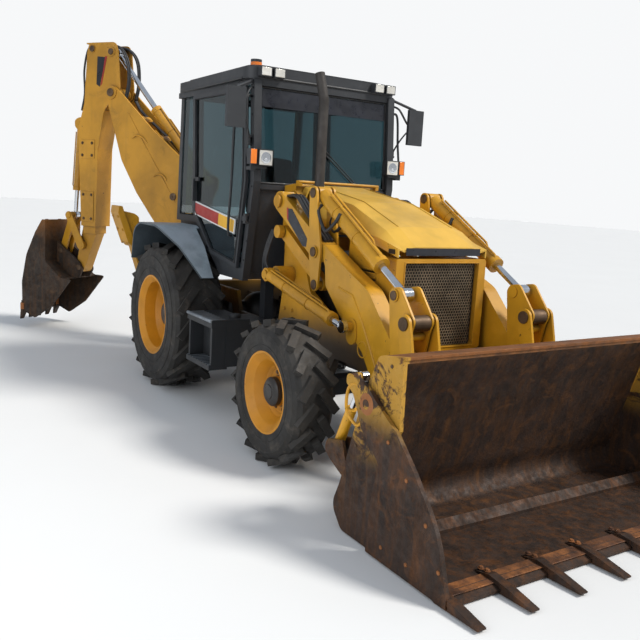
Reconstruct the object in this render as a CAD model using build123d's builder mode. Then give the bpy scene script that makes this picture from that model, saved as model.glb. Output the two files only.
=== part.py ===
import math
import os

from build123d import *

os.makedirs("parts", exist_ok=True)

# ---------------------------------------------------------------- driving sizes, mm
# X runs forward from the rear axle, Y to the machine's left, Z up from the ground
WHEELBASE = 2200
REAR_R, REAR_W, REAR_Y, REAR_RIM = 657, 470, 865, 330
FRONT_R, FRONT_W, FRONT_Y, FRONT_RIM = 495, 300, 955, 250
KING_Y = 765                       # steering pin
ARM_Y = 513                        # centre of each loader arm
ARM_T = 60                         # half the arm's thickness
LEV_IN, LEV_OUT = 66, 82           # lever plates, from the arm's centre
LINK_IN, LINK_OUT = 95, 113        # tilt link plates, from the arm's centre
T_PIN = (1354, 1757)               # arm pivot on the tower
S_PIN = (1369, 1522)               # levelling link's rear pin on the tower
M_PIN = (1944, 1418)               # levelling lever's middle pin on the arm
L_PIN = (1959, 1183)               # levelling lever's lower pin
U_PIN = (1884, 1836)               # levelling lever's upper pin, tilt cylinder's base
P_PIN = (2959, 823)                # tilt lever's pivot on the arm
V_PIN = (2899, 1241)               # tilt lever's upper pin, tilt rod's eye
W_PIN = (3044, 1089)               # tilt lever's link pin
H_PIN = (3090, 290)                # bucket hinge
B_PIN = (3175, 556)                # bucket's link pin
E_PIN = (1385, 1187)               # lift cylinder's base
N_PIN = (2440, 965)                # lift rod's eye
LIFT_Y = 652                       # centre of each lift cylinder
BUCKET_Y = 1203                    # half the bucket's width
CLAM_PIN = (3500, 780)
CLAM_D = (3340, 880)               # clam cylinder's rod eye
CLAM_G = (3130, 420)               # clam cylinder's base
POST_X = -1350                     # backhoe kingpost
SWING = 34                         # backhoe's swing as stored, degrees
F_PIN = (170, 650)                 # boom foot, (distance behind the kingpost, height)
K_PIN = (0, 950)                   # boom cylinder's base
BL_PIN = (330, 1700)               # boom cylinder's rod eye
B2_PIN = (1210, 2832)              # boom to stick
SC_PIN = (20, 1890)                # stick cylinder's base on the boom
T2_PIN = (1246, 3289)              # stick cylinder's rod eye
T1_PIN = (1513, 3327)
HC_PIN = (1772, 2500)              # bucket cylinder's base
I_PIN = (1664, 1052)               # idler on the inner stick
IT_PIN = (1850, 1400)              # idler's upper pin
Q_PIN = (1993, 964)                # power link on the bucket
J_PIN = (1707, 779)                # bucket on the inner stick
STICK_Y = 130                      # half the outer stick's width
INNER_Y = 98                       # half the inner stick's width
H_BUSH, P_BUSH, W_COLLAR = 58, 52, 50   # bushes on the hinge and lever pins, collar on the link pin
BOOM_IN, BOOM_OUT = 138, 163       # boom side plates
HOE_BUCKET_Y = 305
REAR_BEAM = -960                   # rear face of the rear beam
STAB_X = -1036                     # plane of the stabiliser legs
STAB_Y, STAB_Z = 625, 560          # leg's pivot, beside the frame
SG_PIN = (350, 835)                # stabiliser cylinder's base (y, z)
DOOR_HINGE_Z = (1600, 2220)
DOOR_HINGE = (1064, 712)            # door's hinge line (x, y), upright
EXT = 1.0                          # extending stick's travel, metres
EXT_DIR = (0.018, -1.0)           # its direction (away from the kingpost, up)
LEG_UP = 70                        # leg's angle above level as stowed, degrees
LEG_LEN = 930
LEG_D = 430                        # rod's pin along the leg
ORIGIN = (425, -206)               # the part's origin in the sizes' frame
LIFT_ROD, TILT_ROD, CLAM_ROD = 24, 25, 16        # radius of each cylinder's rod
BOOM_ROD, STICK_ROD, CURL_ROD, STAB_ROD = 30, 30, 26, 22
GLAND_GAP = 0.5                    # between a rod and the gland that carries it
BORE_GAP = 6                       # between a rod and its barrel's bore
SEAT_GAP = 0.3                     # between a pane, lamp or roof and what carries it
CAB_TOP = 2700                     # top of the cab's frame
CAB_NOSE = 1060                    # front edge of the cab's roof
CAB_TAIL = -560                    # rear edge of the cab's roof

SAVED = []


def save(name, part, swung=False):
    """Name a piece, put it in the part's frame and write it."""
    if swung:
        part = part.rotate(Axis((POST_X, 0, 0), (0, 0, 1)), SWING)
    part = part.moved(Location((-ORIGIN[0], -ORIGIN[1], 0)))
    part.label = name
    export_step(part, "parts/" + name + ".step")
    SAVED.append(name)


# ---------------------------------------------------------------- shape helpers
def rounded(points):
    """Lines and arcs of a closed outline whose corners are (u, v) or (u, v, radius)."""
    n = len(points)
    cuts = []
    for i in range(n):
        p = points[i]
        u, v = p[0], p[1]
        r = p[2] if len(p) > 2 else 0
        if r == 0:
            cuts.append(((u, v), None, (u, v)))
            continue
        a, b = points[i - 1], points[(i + 1) % n]
        da = math.hypot(a[0] - u, a[1] - v)
        db = math.hypot(b[0] - u, b[1] - v)
        ua = ((a[0] - u) / da, (a[1] - v) / da)
        ub = ((b[0] - u) / db, (b[1] - v) / db)
        cosang = max(-1, min(1, ua[0] * ub[0] + ua[1] * ub[1]))
        half = math.acos(cosang) / 2
        d = min(r / math.tan(half), 0.49 * da, 0.49 * db)
        r = d * math.tan(half)
        bis = (ua[0] + ub[0], ua[1] + ub[1])
        bl = math.hypot(*bis)
        c = (u + bis[0] / bl * r / math.sin(half), v + bis[1] / bl * r / math.sin(half))
        mid = (c[0] - bis[0] / bl * r, c[1] - bis[1] / bl * r)
        cuts.append(((u + ua[0] * d, v + ua[1] * d), mid, (u + ub[0] * d, v + ub[1] * d)))
    for i in range(n):
        start, mid, end = cuts[i]
        if mid:
            ThreePointArc(start, mid, end)
        nxt = cuts[(i + 1) % n][0]
        if math.hypot(nxt[0] - end[0], nxt[1] - end[1]) > 1e-6:
            Line(end, nxt)


def side(points, y0, y1):
    """A plate with a side outline in (x, z), from y0 to y1."""
    lo, hi = min(y0, y1), max(y0, y1)
    with BuildPart() as b:
        with BuildSketch(Plane(origin=(0, hi, 0), x_dir=(1, 0, 0), z_dir=(0, -1, 0))):
            with BuildLine():
                rounded(points)
            make_face()
        extrude(amount=hi - lo)
    return b.part


def front(points, x0, x1):
    """A plate with a front outline in (y, z), from x0 to x1."""
    lo, hi = min(x0, x1), max(x0, x1)
    with BuildPart() as b:
        with BuildSketch(Plane(origin=(lo, 0, 0), x_dir=(0, 1, 0), z_dir=(1, 0, 0))):
            with BuildLine():
                rounded(points)
            make_face()
        extrude(amount=hi - lo)
    return b.part


def top(points, z0, z1):
    """A plate with a plan outline in (x, y), from z0 to z1."""
    with BuildPart() as b:
        with BuildSketch(Plane.XY.offset(min(z0, z1))):
            with BuildLine():
                rounded(points)
            make_face()
        extrude(amount=abs(z1 - z0))
    return b.part


def box(x0, x1, y0, y1, z0, z1):
    with BuildPart() as b:
        with Locations(((x0 + x1) / 2, (y0 + y1) / 2, (z0 + z1) / 2)):
            Box(abs(x1 - x0), abs(y1 - y0), abs(z1 - z0))
    return b.part


def boss(p, r, y0, y1, hole=0):
    """A round boss along Y at (x, z)."""
    lo, hi = min(y0, y1), max(y0, y1)
    with BuildPart() as b:
        with BuildSketch(Plane(origin=(p[0], hi, p[1]), x_dir=(1, 0, 0), z_dir=(0, -1, 0))):
            Circle(r)
            if hole:
                Circle(hole, mode=Mode.SUBTRACT)
        extrude(amount=hi - lo)
    return b.part


def rod3(p, q, r, hole=0):
    """A round bar or tube between two points."""
    d = Vector(*q) - Vector(*p)
    with BuildPart() as b:
        with BuildSketch(Plane(origin=p, z_dir=d)):
            Circle(r)
            if hole:
                Circle(hole, mode=Mode.SUBTRACT)
        extrude(amount=d.length)
    return b.part


def slotted(p, q, rp, rq):
    """Outline of a link: a circle at each end and the two tangents."""
    dx, dz = q[0] - p[0], q[1] - p[1]
    d = math.hypot(dx, dz)
    a = math.atan2(dz, dx)
    k = math.acos((rp - rq) / d)
    p1 = (p[0] + rp * math.cos(a + k), p[1] + rp * math.sin(a + k))
    p2 = (p[0] + rp * math.cos(a - k), p[1] + rp * math.sin(a - k))
    q1 = (q[0] + rq * math.cos(a + k), q[1] + rq * math.sin(a + k))
    q2 = (q[0] + rq * math.cos(a - k), q[1] + rq * math.sin(a - k))
    pm = (p[0] - rp * math.cos(a), p[1] - rp * math.sin(a))
    qm = (q[0] + rq * math.cos(a), q[1] + rq * math.sin(a))
    return p1, pm, p2, q2, qm, q1


def link(p, q, rp, rq, y0, y1):
    lo, hi = min(y0, y1), max(y0, y1)
    p1, pm, p2, q2, qm, q1 = slotted(p, q, rp, rq)
    with BuildPart() as b:
        with BuildSketch(Plane(origin=(0, hi, 0), x_dir=(1, 0, 0), z_dir=(0, -1, 0))):
            with BuildLine():
                ThreePointArc(p1, pm, p2)
                Line(p2, q2)
                ThreePointArc(q2, qm, q1)
                Line(q1, p1)
            make_face()
        extrude(amount=hi - lo)
    return b.part


def join(*parts, cut=()):
    """One piece from overlapping shapes, less the shapes in cut."""
    with BuildPart() as b:
        for p in parts:
            add(p)
        for p in cut:
            add(p, mode=Mode.SUBTRACT)
    return b.part


def both(part):
    """A piece and its mirror image across the machine's centre plane."""
    with BuildPart() as b:
        add(part)
        mirror(about=Plane.XZ)
    return b.part


def flip(part):
    return mirror(part, about=Plane.XZ)


def turned(profile, centre, y_axis=True):
    """A solid of revolution about the Y line through (x, z); profile is (y, radius, corner radius)."""
    with BuildPart() as b:
        with BuildSketch(Plane(origin=(centre[0], 0, centre[1]), x_dir=(0, 1, 0), z_dir=(1, 0, 0))):
            with BuildLine():
                rounded(profile)
            make_face()
        revolve(axis=Axis((centre[0], 0, centre[1]), (0, 1, 0)))
    return b.part


def along(p, q, d):
    n = math.hypot(q[0] - p[0], q[1] - p[1])
    return (p[0] + (q[0] - p[0]) * d / n, p[1] + (q[1] - p[1]) * d / n)


def barrel(p, q, y, length, r, rod, eye_r, eye_w, hole):
    """A cylinder barrel: eye at p, tube towards q, and at its end a collar whose gland carries the rod."""
    a, i, g, e, out = (along(p, q, d) for d in (eye_r * 0.7, eye_r * 1.5, length - r * 0.9, length, length + 5))
    return join(
        boss(p, eye_r, y - eye_w / 2, y + eye_w / 2),
        rod3((a[0], y, a[1]), (e[0], y, e[1]), r),
        rod3((g[0], y, g[1]), (e[0], y, e[1]), r + 6),
        cut=[
            boss(p, hole, y - eye_w, y + eye_w),
            rod3((i[0], y, i[1]), (g[0], y, g[1]), rod + BORE_GAP),
            rod3((i[0], y, i[1]), (out[0], y, out[1]), rod + GLAND_GAP),
        ],
    )


def rod_piece(p, q, y, inside, r, eye_r, eye_w):
    """A cylinder rod: eye at q, bar back towards p with its piston end 'inside' from p."""
    a, e = along(p, q, inside), along(q, p, eye_r * 0.7)
    return join(
        boss(q, eye_r, y - eye_w / 2, y + eye_w / 2),
        rod3((a[0], y, a[1]), (e[0], y, e[1]), r),
    )


# ---------------------------------------------------------------- wheels
def tyre(r, w, rim_r, lugs, lug_len, lug_w, lug_h):
    """A tyre centred on the origin, axis Y, with slanted bar lugs in two rows."""
    c = r - lug_h
    h = w / 2
    m = (rim_r + c) / 2
    right = [(h - 44, c - 10), (h - 14, c - 34), (h, m + 50), (h + 2, m - 10), (h - 6, rim_r + 34), (h - 40, rim_r - 6)]
    prof = [(-y, z) for y, z in reversed(right)] + right
    body = turned(prof, (0, 0))
    far = 0.394 * lug_len + 0.308 * lug_w
    tip = math.sqrt(r * r - far * far)
    with BuildPart() as b:
        add(body)
        for row in (-1, 1):
            for i in range(lugs):
                a = 360 / lugs * (i + (0.5 if row > 0 else 0))
                with Locations(Location((0, 0, 0), (0, a, 0)) * Location((0, row * w * 0.25, c - 24), (0, 0, -row * 52))):
                    Box(lug_w, lug_len, tip - c + 24, align=(Align.CENTER, Align.CENTER, Align.MIN))
    return b.part


def rim(r, w, hub_r, side_sign, hub_out, bolts):
    """A dished rim, axis Y; side_sign points outwards."""
    h = w / 2
    s = side_sign
    f = r - 5.95                   # bead seat, a light press fit in the tyre
    prof = [
        (-s * (h - 8), r + 16), (-s * (h - 8), r + 30), (-s * (h - 12), r + 30), (-s * (h - 41), f - 1),
        (-s * (h - 42), f), (s * (h - 42), f), (s * (h - 41), f - 1), (s * (h - 12), r + 30), (s * (h - 8), r + 30),
        (s * (h - 8), r + 16), (s * (h - 50), r - 30), (s * 84, r - 40), (s * 30, r - 74), (s * 10, hub_r + 56),
        (s * 10, 24), (-s * 20, 24), (-s * 20, r - 84), (-s * 60, r - 40), (-s * (h - 50), r - 30),
    ]
    disc = turned(prof, (0, 0))
    hub = turned([(-s * 20, 24.5), (s * hub_out, 24.5), (s * hub_out, hub_r - 22), (s * (hub_out - 18), hub_r),
                  (s * 4, hub_r + 8), (-s * 20, hub_r + 8)], (0, 0))
    return join(disc, hub)


for name, x, r, w, rr, lugs, ll, lw, lh, yy, hub_r, hub_out in (
    ("rear", 0, REAR_R, REAR_W, REAR_RIM, 18, 270, 62, 36, REAR_Y, 118, 96),
    ("front", WHEELBASE, FRONT_R, FRONT_W, FRONT_RIM, 17, 178, 54, 28, FRONT_Y, 96, 100),
):
    t = tyre(r, w, rr, lugs, ll, lw, lh)
    for s, sn in ((1, "left"), (-1, "right")):
        tt = t if s > 0 else mirror(t, about=Plane.XZ)
        save(f"tyre_{name}_{sn}", tt.moved(Location((x, s * yy, r))))
        save(f"rim_{name}_{sn}", rim(rr, w, hub_r, s, hub_out, 8).moved(Location((x, s * yy, r))))

# ---------------------------------------------------------------- axles and knuckles
def axles():
    fx = WHEELBASE
    with BuildPart() as a:
        # front beam with a centre trunnion and an eye for each steering pin
        add(box(fx - 62, fx + 62, -600, 600, 440, 560))
        add(rod3((fx - 108, 0, 500), (fx + 108, 0, 500), 80))
        add(rod3((fx - 150, 0, 500), (fx + 150, 0, 500), 60))
        for s in (1, -1):
            add(front([(s * 560, 430), (s * 560, 570), (s * 690, 600), (s * 700, 560), (s * 700, 440), (s * 690, 400)],
                      fx - 70, fx + 70))
            add(box(fx - 48, fx + 48, s * 690, s * 812, 598, 630))
            add(box(fx - 48, fx + 48, s * 690, s * 812, 362, 394))
            add(rod3((fx, s * KING_Y, 350), (fx, s * KING_Y, 642), 24))
        # rear axle
        add(rod3((0, -560, REAR_R), (0, 560, REAR_R), 105))
        add(rod3((0, -720, REAR_R), (0, 720, REAR_R), 78))
        add(rod3((0, -880, REAR_R), (0, 880, REAR_R), 23.9))
        with Locations((30, 0, REAR_R)):
            Sphere(190)
        for s in (1, -1):
            add(box(-110, 110, s * 326, s * 370, 620, 765))
    return a.part


save("axles", axles())


def knuckle(s):
    fx = WHEELBASE
    k = join(
        box(fx - 46, fx + 46, s * (KING_Y - 40), s * (KING_Y + 46), 396, 594),
        rod3((fx, s * (KING_Y + 30), FRONT_R), (fx, s * (FRONT_Y + 10), FRONT_R), 23.9),
        rod3((fx, s * (KING_Y + 30), FRONT_R), (fx, s * (KING_Y + 86), FRONT_R), 74),
        box(fx - 190, fx - 30, s * (KING_Y - 4), s * (KING_Y + 30), 470, 500),
        cut=[rod3((fx, s * KING_Y, 300), (fx, s * KING_Y, 700), 24.1)],
    )
    return k


save("knuckle_left", knuckle(1))
save("knuckle_right", knuckle(-1))

# ---------------------------------------------------------------- main frame
TOWER = [(T_PIN[0] - 70, T_PIN[1] + 60, 50), (T_PIN[0] + 80, T_PIN[1] + 62, 50), (1520, 1400, 60), (1680, 1080, 60),
         (2060, 900, 40), (2560, 800, 20), (2640, 640, 20), (2600, 580), (2400, 580), (2340, 650, 20), (2060, 650, 20),
         (2000, 545), (1200, 540), (1200, 760), (1262, 1100)]


RAIL = [(-880, 470), (-880, 720), (-330, 720), (-260, 900), (260, 900), (330, 720), (1940, 720), (1990, 760),
        (2380, 760), (2380, 600), (1960, 600), (1900, 470), (230, 470), (170, 765), (-170, 765), (-230, 470)]


def main_frame():
    half = [
        side(RAIL, 330, 366),
        side(TOWER, 400, 446),                                      # loader tower
        boss(T_PIN, 88, 398, 448),
        rod3((T_PIN[0], 400, T_PIN[1]), (T_PIN[0], 590, T_PIN[1]), 32),
        boss(T_PIN, 50, 578, 596),
        boss(S_PIN, 60, 398, 480),
        rod3((S_PIN[0], 400, S_PIN[1]), (S_PIN[0], 580, S_PIN[1]), 28),
        boss(S_PIN, 50, 545, 590),
        boss(E_PIN, 66, 398, 592),
        rod3((E_PIN[0], 400, E_PIN[1]), (E_PIN[0], 690, E_PIN[1]), 26),
        boss(E_PIN, 36, 686, 696),
        box(1210, 1290, 366, 420, 545, 1370),                       # tower's rear web
        box(1700, 1780, 250, 331, 665, 715),                        # engine mounts
        box(1200, 1560, 330, 440, 540, 760),
        box(2400, 2620, 330, 440, 585, 700),
    ]
    with BuildPart() as f:
        for h in half:
            add(h)
            add(flip(h))
        add(box(1205, 1285, -420, 420, 1370, 1480))                 # cross tube between the towers
        add(box(2520, 2660, -440, 440, 430, 800))                   # front bumper block
        add(box(1230, 1420, -366, 366, 480, 600))
        add(box(2040, 2360, -340, 340, 585, 640))                   # front axle bolster
        add(box(2040, 2092, -110, 110, 430, 640))
        add(box(2308, 2360, -110, 110, 430, 640))
        # rear frame that carries the kingpost and the stabilisers
        add(box(REAR_BEAM, REAR_BEAM + 90, -700, 700, 395, 840))
        for z0, z1 in ((395, 455), (765, 808)):
            add(top([(REAR_BEAM + 5, -330), (REAR_BEAM + 5, 330), (-1160, 200, 20), (-1172, 38), (-1240, 38, 40),
                     (-1262, 92, 30), (POST_X - 10, 95, 90), (POST_X - 95, 60, 50), (POST_X - 95, -60, 50),
                     (POST_X - 10, -95, 90), (-1262, -92, 30), (-1240, -38, 40), (-1172, -38),
                     (-1160, -200, 20)], z0, z1))
        add(box(-1158, -1130, -196, 196, 455, 765))
        add(rod3((POST_X, 0, 395), (POST_X, 0, 815), 40))
        for s in (1, -1):
            # stabiliser pivot plates and the cylinder's bracket
            add(box(STAB_X - 92, REAR_BEAM, s * 500, s * 526, 420, 650))
            add(box(STAB_X - 92, STAB_X - 74, s * 500, s * 700, 470, 650))
            add(box(STAB_X - 92, REAR_BEAM, s * 526, s * 700, 420, 440))
            add(rod3((STAB_X - 96, s * STAB_Y, STAB_Z), (REAR_BEAM + 5, s * STAB_Y, STAB_Z), 30))
            add(box(STAB_X - 66, STAB_X - 44, s * 240, s * 410, 740, 885))
            add(box(STAB_X - 66, REAR_BEAM, s * 240, s * 300, 740, 765))
            add(box(STAB_X + 44, REAR_BEAM, s * 290, s * 410, 740, 885))
            add(rod3((STAB_X - 68, s * SG_PIN[0], SG_PIN[1]), (REAR_BEAM, s * SG_PIN[0], SG_PIN[1]), 22))
        # trunnion cut for the front axle
        add(rod3((2030, 0, 500), (2370, 0, 500), 60.5), mode=Mode.SUBTRACT)
    return f.part


save("main_frame", main_frame())

# ---------------------------------------------------------------- engine: one plain block, silencer and stack
STACK = (1490, -300)


def engine():
    return join(
        box(1560, 2380, -250, 250, 660, 1330),
        box(1350, 1560, -200, 200, 660, 1200),
        rod3((STACK[0], STACK[1] + 60, 1250), (STACK[0], STACK[1] + 60, 1330), 40),
        box(1460, 1660, -300, -180, 1250, 1380),
        rod3((STACK[0], STACK[1], 1300), (STACK[0], STACK[1], 2560), 38),
        rod3((STACK[0], STACK[1], 2540), (STACK[0] - 50, STACK[1] - 20, 2744), 38, 32),
    )


save("engine", engine())

# ---------------------------------------------------------------- hood, nose and cowl
HOOD_W = 405


def hood_section(w_low, z_low, z_high, w_high):
    return [(-w_low, z_low), (-w_low, z_low + 70), (-w_high, z_high - 30, 60), (-w_high * 0.6, z_high, 200),
            (w_high * 0.6, z_high, 200), (w_high, z_high - 30, 60), (w_low, z_low + 70), (w_low, z_low)]


def hood():
    def shell(d):
        with BuildPart() as b:
            for x, wl, zl, zh, wh in ((1300, 392, 1640, 1900, 320), (2000, 392, 1560, 1790, 320),
                                      (2440, 396, 1500, 1640, 345), (2650, 396, 1448, 1520, 355)):
                with BuildSketch(Plane(origin=(x + (0 if x > 1300 else 0), 0, 0), x_dir=(0, 1, 0), z_dir=(1, 0, 0))):
                    with BuildLine():
                        Polyline((-wl + d, zl - (d and 40)), (-wl + d, zl + 60 - d), (-wh + d, zh - 26 - d),
                                 (-wh * 0.7 + d, zh - d), (wh * 0.7 - d, zh - d), (wh - d, zh - 26 - d),
                                 (wl - d, zl + 60 - d), (wl - d, zl - (d and 40)), close=True)
                    make_face()
            loft(ruled=True)
        return b.part
    outer = shell(0)
    inner = shell(12)
    h = join(outer, cut=[inner])
    return join(h, cut=[box(STACK[0] - 125, STACK[0] + 95, STACK[1] - 66, STACK[1] + 50, 1500, 2300),
                             rod3((1320, -500, 1915), (1320, 500, 1915), 16)])


save("hood", hood())


def body_panels():
    # nose surround, side panels beside the radiator, cowl under the windscreen
    surround = front([(-400, 800, 30), (-400, 1440, 20), (400, 1440, 20), (400, 800, 30)], 2470, 2650)
    hole = front([(-325, 830, 20), (-325, 1410, 20), (325, 1410, 20), (325, 830, 20)], 2400, 2700)
    cowl = side([(1110, 1500), (1110, 1880), (1270, 1900, 20), (1290, 1880), (1290, 1500)], -392, 392)
    cowl_in = side([(1100, 1480), (1100, 1868), (1278, 1868), (1278, 1480)], -380, 380)
    sides = both(side([(2060, 1000), (2100, 1520), (2465, 1440), (2465, 840), (2200, 840)], 385, 397))
    with BuildPart() as b:
        add(surround)
        add(hole, mode=Mode.SUBTRACT)
        add(cowl)
        add(cowl_in, mode=Mode.SUBTRACT)
        add(sides)
        # louvre slots
        for i in range(7):
            z = 980 + i * 55
            add(box(2240, 2430, -410, -370, z, z + 22), mode=Mode.SUBTRACT)
            add(box(2240, 2430, 370, 410, z, z + 22), mode=Mode.SUBTRACT)
        add(rod3((1320, -392, 1915), (1320, 392, 1915), 12))
        add(box(1288, 1330, -392, -360, 1880, 1925))
        add(box(1288, 1330, 360, 392, 1880, 1925))
    return b.part


save("body_panels", body_panels())
save("grille", front([(-325, 830, 20), (-325, 1410, 20), (325, 1410, 20), (325, 830, 20)], 2600, 2618))

# ---------------------------------------------------------------- cab
CAB_Y = 690                        # half the cab's width
CAB = {"front_low": (1000, 1130), "front_mid": (1110, 1900), "front_top": (1000, 2700),
       "rear_top": (-470, 2700), "rear_mid": (-520, 1560), "door_rear": (-150, 1560)}
POST_B = [(-120, 2690), (-60, 2690), (20, 1560), (150, 1300), (90, 1240), (-50, 1500)]
POST_A = [(1010, 2690), (1075, 2690), (1135, 1900), (1010, 1110), (950, 1110), (1070, 1900)]


def cab_frame():
    half = [
        side(POST_A, 625, 690),
        side([(-150, 2690), (-90, 2690), (-10, 1640), (270, 1335), (262, 1288), (190, 1345), (-85, 1600)], 610, 690),
        side([(-500, 2690), (-430, 2690), (-470, 1500), (-540, 1500)], 600, 660),
        box(600, 1010, 600, 660, 1100, 1160),
        side([(260, 1290), (1010, 1180), (1010, 1090), (560, 1090), (430, 1195)], 640, 690),
        side([(-540, 1560), (-60, 1560), (200, 1340), (430, 1200), (430, 1100), (-540, 1160)], 596, 616),
        box(-540, -40, 596, 660, 1500, 1560),
        box(-500, 1040, 600, 690, 2650, 2700),
    ]
    with BuildPart() as c:
        for h in half:
            add(h)
            add(flip(h))
        add(box(150, 1000, -610, 610, 1100, 1150))                   # floor
        add(box(-540, 160, -600, 600, 1160, 1200))
        add(box(130, 170, -600, 600, 1100, 1200))
        add(side([(950, 1100), (1055, 1860), (1095, 1860), (990, 1100)], -640, 640))
        add(box(1060, 1110, -690, 690, 1840, 1880))
        add(box(-540, -500, -610, 610, 1160, 1560))
        add(box(1000, 1060, -690, 690, 2650, 2700))
        add(box(-500, -440, -660, 660, 2650, 2700))
        # door hinge pins, and the feet down to the chassis rails
        hx0, hy0 = DOOR_HINGE
        for s in (1, -1):
            for z in DOOR_HINGE_Z:
                add(rod3((hx0, s * hy0, z - 40), (hx0, s * hy0, z + 40), 10))
                for z0 in (z - 40, z + 22):
                    add(box(hx0 - 18, hx0 + 18, s * 660, s * (hy0 + 14), z0, z0 + 18))
        for x0, x1 in ((-440, -350), (820, 910)):
            for s in (1, -1):
                add(box(x0, x1, s * 340, s * 420, 720, 1170))
    return c.part


save("cab_frame", cab_frame())


def cab_roof():
    r = top([(CAB_TAIL, -690, 120), (CAB_TAIL, 690, 120), (CAB_NOSE, 735, 110), (CAB_NOSE, -735, 110)],
            CAB_TOP + SEAT_GAP, 2790)
    crown = top([(-500, -620, 120), (-500, 620, 120), (960, 650, 110), (960, -650, 110)], 2790, 2822)
    return join(r, crown)


save("cab_roof", cab_roof())


def cab_glass():
    edge = 625 - SEAT_GAP                                            # beside the front posts
    header = 2650 - SEAT_GAP                                         # under the roof rails
    wind = side([(1085, 1885), (1030, header), (1036, header), (1091, 1885)], -edge, edge)
    rear = side([(-478, 1565), (-478, header), (-472, header), (-472, 1565)], -600 + SEAT_GAP, 600 - SEAT_GAP)

    def post(z):
        return -470 + (z - 1500) * 40 / 1190 + SEAT_GAP              # front edge of the rear post

    quarter = both(side([(post(1575), 1575), (post(header), header), (-155, header), (-95, 1600), (-110, 1575)],
                        645, 651))
    return join(wind, rear, quarter)


save("cab_glass", cab_glass())


def cab_interior():
    seat = join(box(120, 560, -240, 240, 1480, 1590), box(60, 170, -235, 235, 1560, 2150),
                box(180, 480, -160, 160, 1150, 1482))
    console = join(box(560, 640, -60, 60, 1150, 1420), box(800, 945, -300, 300, 1150, 1400),
                   rod3((900, 0, 1390), (800, 0, 1720), 30), rod3((805, 0, 1705), (797, 0, 1730), 190, 165),
                   box(785, 818, -180, 180, 1700, 1722))
    return join(seat, console)


save("cab_interior", cab_interior())


def fenders():
    # a rounded wing over each rear wheel, its outer edge drawn in towards the front
    outer = [(-560, 1120), (-500, 1410, 140), (-330, 1478, 120), (60, 1478, 200), (340, 1310, 160), (590, 1060)]
    inner = [(575, 1054), (328, 1298, 150), (54, 1462, 190), (-326, 1462, 106), (-486, 1402, 126), (-543, 1120)]
    skin = side(outer + inner, 694, 1105)
    keep = top([(-600, 690), (-600, 1105), (40, 1105, 400), (620, 850), (620, 760), (100, 724), (100, 690)], 1000, 1500)
    with BuildPart() as b:
        add(skin)
        add(keep, mode=Mode.INTERSECT)
        add(box(-420, -60, 616, 700, 1400, 1440))
        add(box(-420, -60, 690, 700, 1400, 1470))
        mirror(about=Plane.XZ)
    return b.part


save("fenders", fenders())


def side_tanks():
    s = join(
        box(720, 1190, 460, 900, 420, 760),
        box(700, 1190, 700, 1030, 740, 800),
        box(720, 1180, 880, 1040, 400, 440),
        box(720, 750, 880, 1020, 430, 760),
        box(1150, 1180, 880, 1020, 430, 760),
        box(800, 900, 366, 470, 520, 640),
    )
    return both(s)


save("side_tanks", side_tanks())


def lamps():
    s = join(
        box(1020, 1120, 700, 900, 2030, 2060),
        box(1120, 1190, 760, 880, 1990, 2120),
        box(1125, 1185, 890, 950, 1990, 2120),
    )
    return s


def lamp_set():
    half = [
        box(1135 + SEAT_GAP, 1196, 560, 690, 2020, 2150), box(1136, 1196, 700, 760, 2030, 2150),
        box(1090, 1170, 691, 740, 1985, 2012), box(1150, 1170, 600, 740, 2000, 2040),
        box(CAB_NOSE + SEAT_GAP, 1120, 560, 660, 2715, 2790), box(CAB_NOSE + SEAT_GAP, 1120, 440, 540, 2715, 2790),
        box(CAB_TAIL - 60, CAB_TAIL - SEAT_GAP, 460, 570, 2715, 2790),
        # mirror on its arm
        box(1010, 1054, 690, 700, 2650, 2690), rod3((1045, 698, 2678), (1150, 880, 2600), 12),
        box(1135, 1165, 800, 960, 2300, 2605),
    ]
    with BuildPart() as b:
        for h in half:
            add(h)
            add(flip(h))
        add(rod3((560, -420, 2822 + SEAT_GAP), (560, -420, 2850), 60))
        add(rod3((560, -420, 2850), (560, -420, 2930), 48))
    return b.part


save("lamps", lamp_set())


def door(s):
    # a frame with the window cut out
    outer = [(-55, 2645), (990, 2645), (1052, 1900), (940, 1185), (420, 1258), (25, 1610)]
    inner = [(0, 2600), (945, 2600), (1005, 1900), (905, 1235), (440, 1300), (72, 1622)]
    d = join(side(outer, s * 696, s * 722), cut=[side(inner, s * 680, s * 740)])
    hx0, hy0 = DOOR_HINGE
    lugs = []
    for z in DOOR_HINGE_Z:
        lugs += [box(960, hx0, s * (hy0 - 7), s * (hy0 + 7), z - 20, z + 20),
                 rod3((hx0, s * hy0, z - 20), (hx0, s * hy0, z + 20), 17)]
    return join(d, box(34, 64, s * 722, s * 752, 1700, 1900), *lugs,
                cut=[rod3((hx0, s * hy0, z - 30), (hx0, s * hy0, z + 30), 10.1) for z in DOOR_HINGE_Z])


save("door_left", door(1))
save("door_right", door(-1))

# ---------------------------------------------------------------- loader
def between(y):
    return (y - ARM_T, y + ARM_T)


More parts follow.
